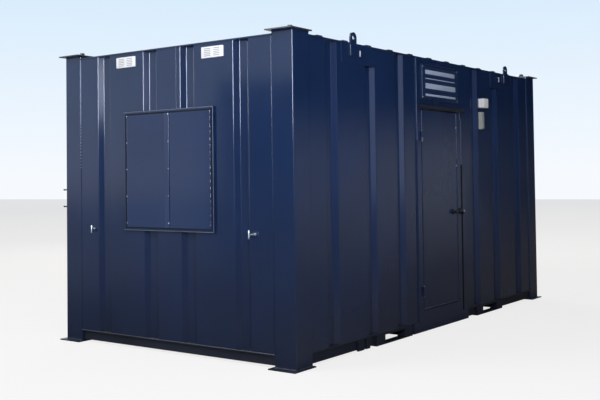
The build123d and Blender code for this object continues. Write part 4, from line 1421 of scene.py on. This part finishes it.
def add_cards():
    """Cards round the cabin and a mat under it, seen only in gloss. The two in front of the door
    also hold back some of the sky's light, and a flag beside them does only that."""
    black, turns = "#12151b", ((2.4, -5.6), (6.6, -4.3), (14, -1.9))
    near = add_card("front_card_near", *turns[:2], 5.0, "#9b9280", "#e4e3e0", black, (1.8, 2.75))
    far = add_card("front_card_far", *turns[1:], 5.0, "#867f73", "#5a5853", black)
    near.visible_diffuse = far.visible_diffuse = True
    for card in (
            ("slope_card_near", (-5.5, -9.0), (-1.5, -7.2), 5.0, "#67645f", "#a9b0ba", "#8d939d"),
            ("slope_card_far", (-1.5, -7.2), turns[0], 5.0, "#67645f", "#30343c", "#23272e"),
            ("end_card", (-7.75, 4.21), (-9.6, 1.9), 3.1, "#5a6068", "#20242b", "#30343c"),
            ("camera_card_left", (-10.5, -4.0), (-8.4, -4.7), 2.8, "#6a7078", "#5a5f68", "#4a4e57"),
            ("camera_card_right", (-8.4, -4.7), (-5.5, -10.5), 4.2, "#5c6168", "#4a4f58",
             "#3a3e47")):
        add_card(*card)
    flag = add_card("right_flag", (3.4, -6.0), (3.4, -1.6), 4.0, black, black, black, bottom=0.5)
    flag.visible_diffuse, flag.visible_glossy = True, False

    # The mat is dark near the camera, warm before the front wall and pale behind the cabin
    material, add, shader, place = start_material("dark_studio_mat",
                                                  {"Roughness": 0.9, "Specular IOR Level": 0.0})
    along, across, _ = add("SeparateXYZ", (place,)).outputs
    front = add("Math", (add("MapRange", (across, -1.3, -1.7)),
                         add("MapRange", (along, -4.2, -3.0))), operation="MULTIPLY")
    warm = add("Mix", (front, srgb("#3a3d41"), srgb("#968c7b")), data_type="RGBA")
    whole = add("Mix", (add("MapRange", (across, 3.0, 9.5)), warm, srgb("#cdd4dd")),
                data_type="RGBA")
    set_inputs(shader, {"Base Color": whole})
    reach = 40
    corners = [(x * reach, y * reach, 2 * MM) for x, y in ((-1, -1), (1, -1), (1, 1), (-1, 1))]
    hide_from_all_but_gloss(stage_sheet("dark_mat", corners, material))


def add_camera(stage):
    """Camera at the angle of view from the front left."""
    yaw, pitch, roll = stage.camera_yaw, stage.camera_pitch, stage.camera_roll
    ahead = Vector((math.cos(yaw) * math.cos(pitch), math.sin(yaw) * math.cos(pitch),
                    math.sin(pitch)))
    level = Vector((math.sin(yaw), -math.cos(yaw), 0))
    upright = level.cross(ahead)
    right = level * math.cos(roll) + upright * math.sin(roll)
    up = upright * math.cos(roll) - level * math.sin(roll)
    data = bpy.data.cameras.new("camera")
    data.lens = stage.camera_lens
    data.sensor_width = 36
    data.shift_x, data.shift_y = stage.camera_shift
    camera = bpy.data.objects.new("camera", data)
    turn = Matrix((right, up, -ahead)).transposed().to_4x4()
    camera.matrix_world = Matrix.Translation(stage.camera_place) @ turn
    bpy.context.scene.collection.objects.link(camera)
    bpy.context.scene.camera = camera


# ------------------------------------------------------------------ panel and registration
class CABIN_PT_panel(bpy.types.Panel):
    """Lists the cabin's pieces and settings"""

    bl_idname = "CABIN_PT_panel"
    bl_label = "Site Cabin"
    bl_space_type = "VIEW_3D"
    bl_region_type = "UI"
    bl_category = "Cabin"

    def draw(self, context):
        scene = context.scene
        for title, group in (("Finishes", scene.cabin_finishes), ("Fittings", scene.cabin_fittings),
                             ("Stage", scene.cabin_stage)):
            box = self.layout.box()
            box.label(text=title)
            for name in group.__annotations__:
                box.prop(group, name)
        for operator in piece_operators:
            self.layout.operator(operator.bl_idname)


piece_operators = (CABIN_OT_paint, CABIN_OT_welds, CABIN_OT_vents, CABIN_OT_shutters,
                   CABIN_OT_catches, CABIN_OT_lock, CABIN_OT_door, CABIN_OT_sign,
                   CABIN_OT_service_boxes, CABIN_OT_roof, CABIN_OT_lining, CABIN_OT_windows,
                   CABIN_OT_stage)
setting_groups = (CabinFinishes, CabinFittings, CabinStage)


def register():
    for cls in setting_groups + piece_operators + (CABIN_PT_panel,):
        bpy.utils.register_class(cls)
    bpy.types.Scene.cabin_finishes = bpy.props.PointerProperty(type=CabinFinishes)
    bpy.types.Scene.cabin_fittings = bpy.props.PointerProperty(type=CabinFittings)
    bpy.types.Scene.cabin_stage = bpy.props.PointerProperty(type=CabinStage)


def unregister():
    del bpy.types.Scene.cabin_stage
    del bpy.types.Scene.cabin_fittings
    del bpy.types.Scene.cabin_finishes
    for cls in reversed(setting_groups + piece_operators + (CABIN_PT_panel,)):
        bpy.utils.unregister_class(cls)


def main():
    """Build every piece in order."""
    register()
    for operator in piece_operators:
        group, name = operator.bl_idname.split(".")
        getattr(getattr(bpy.ops, group), name)()


if __name__ == "__main__":
    main()
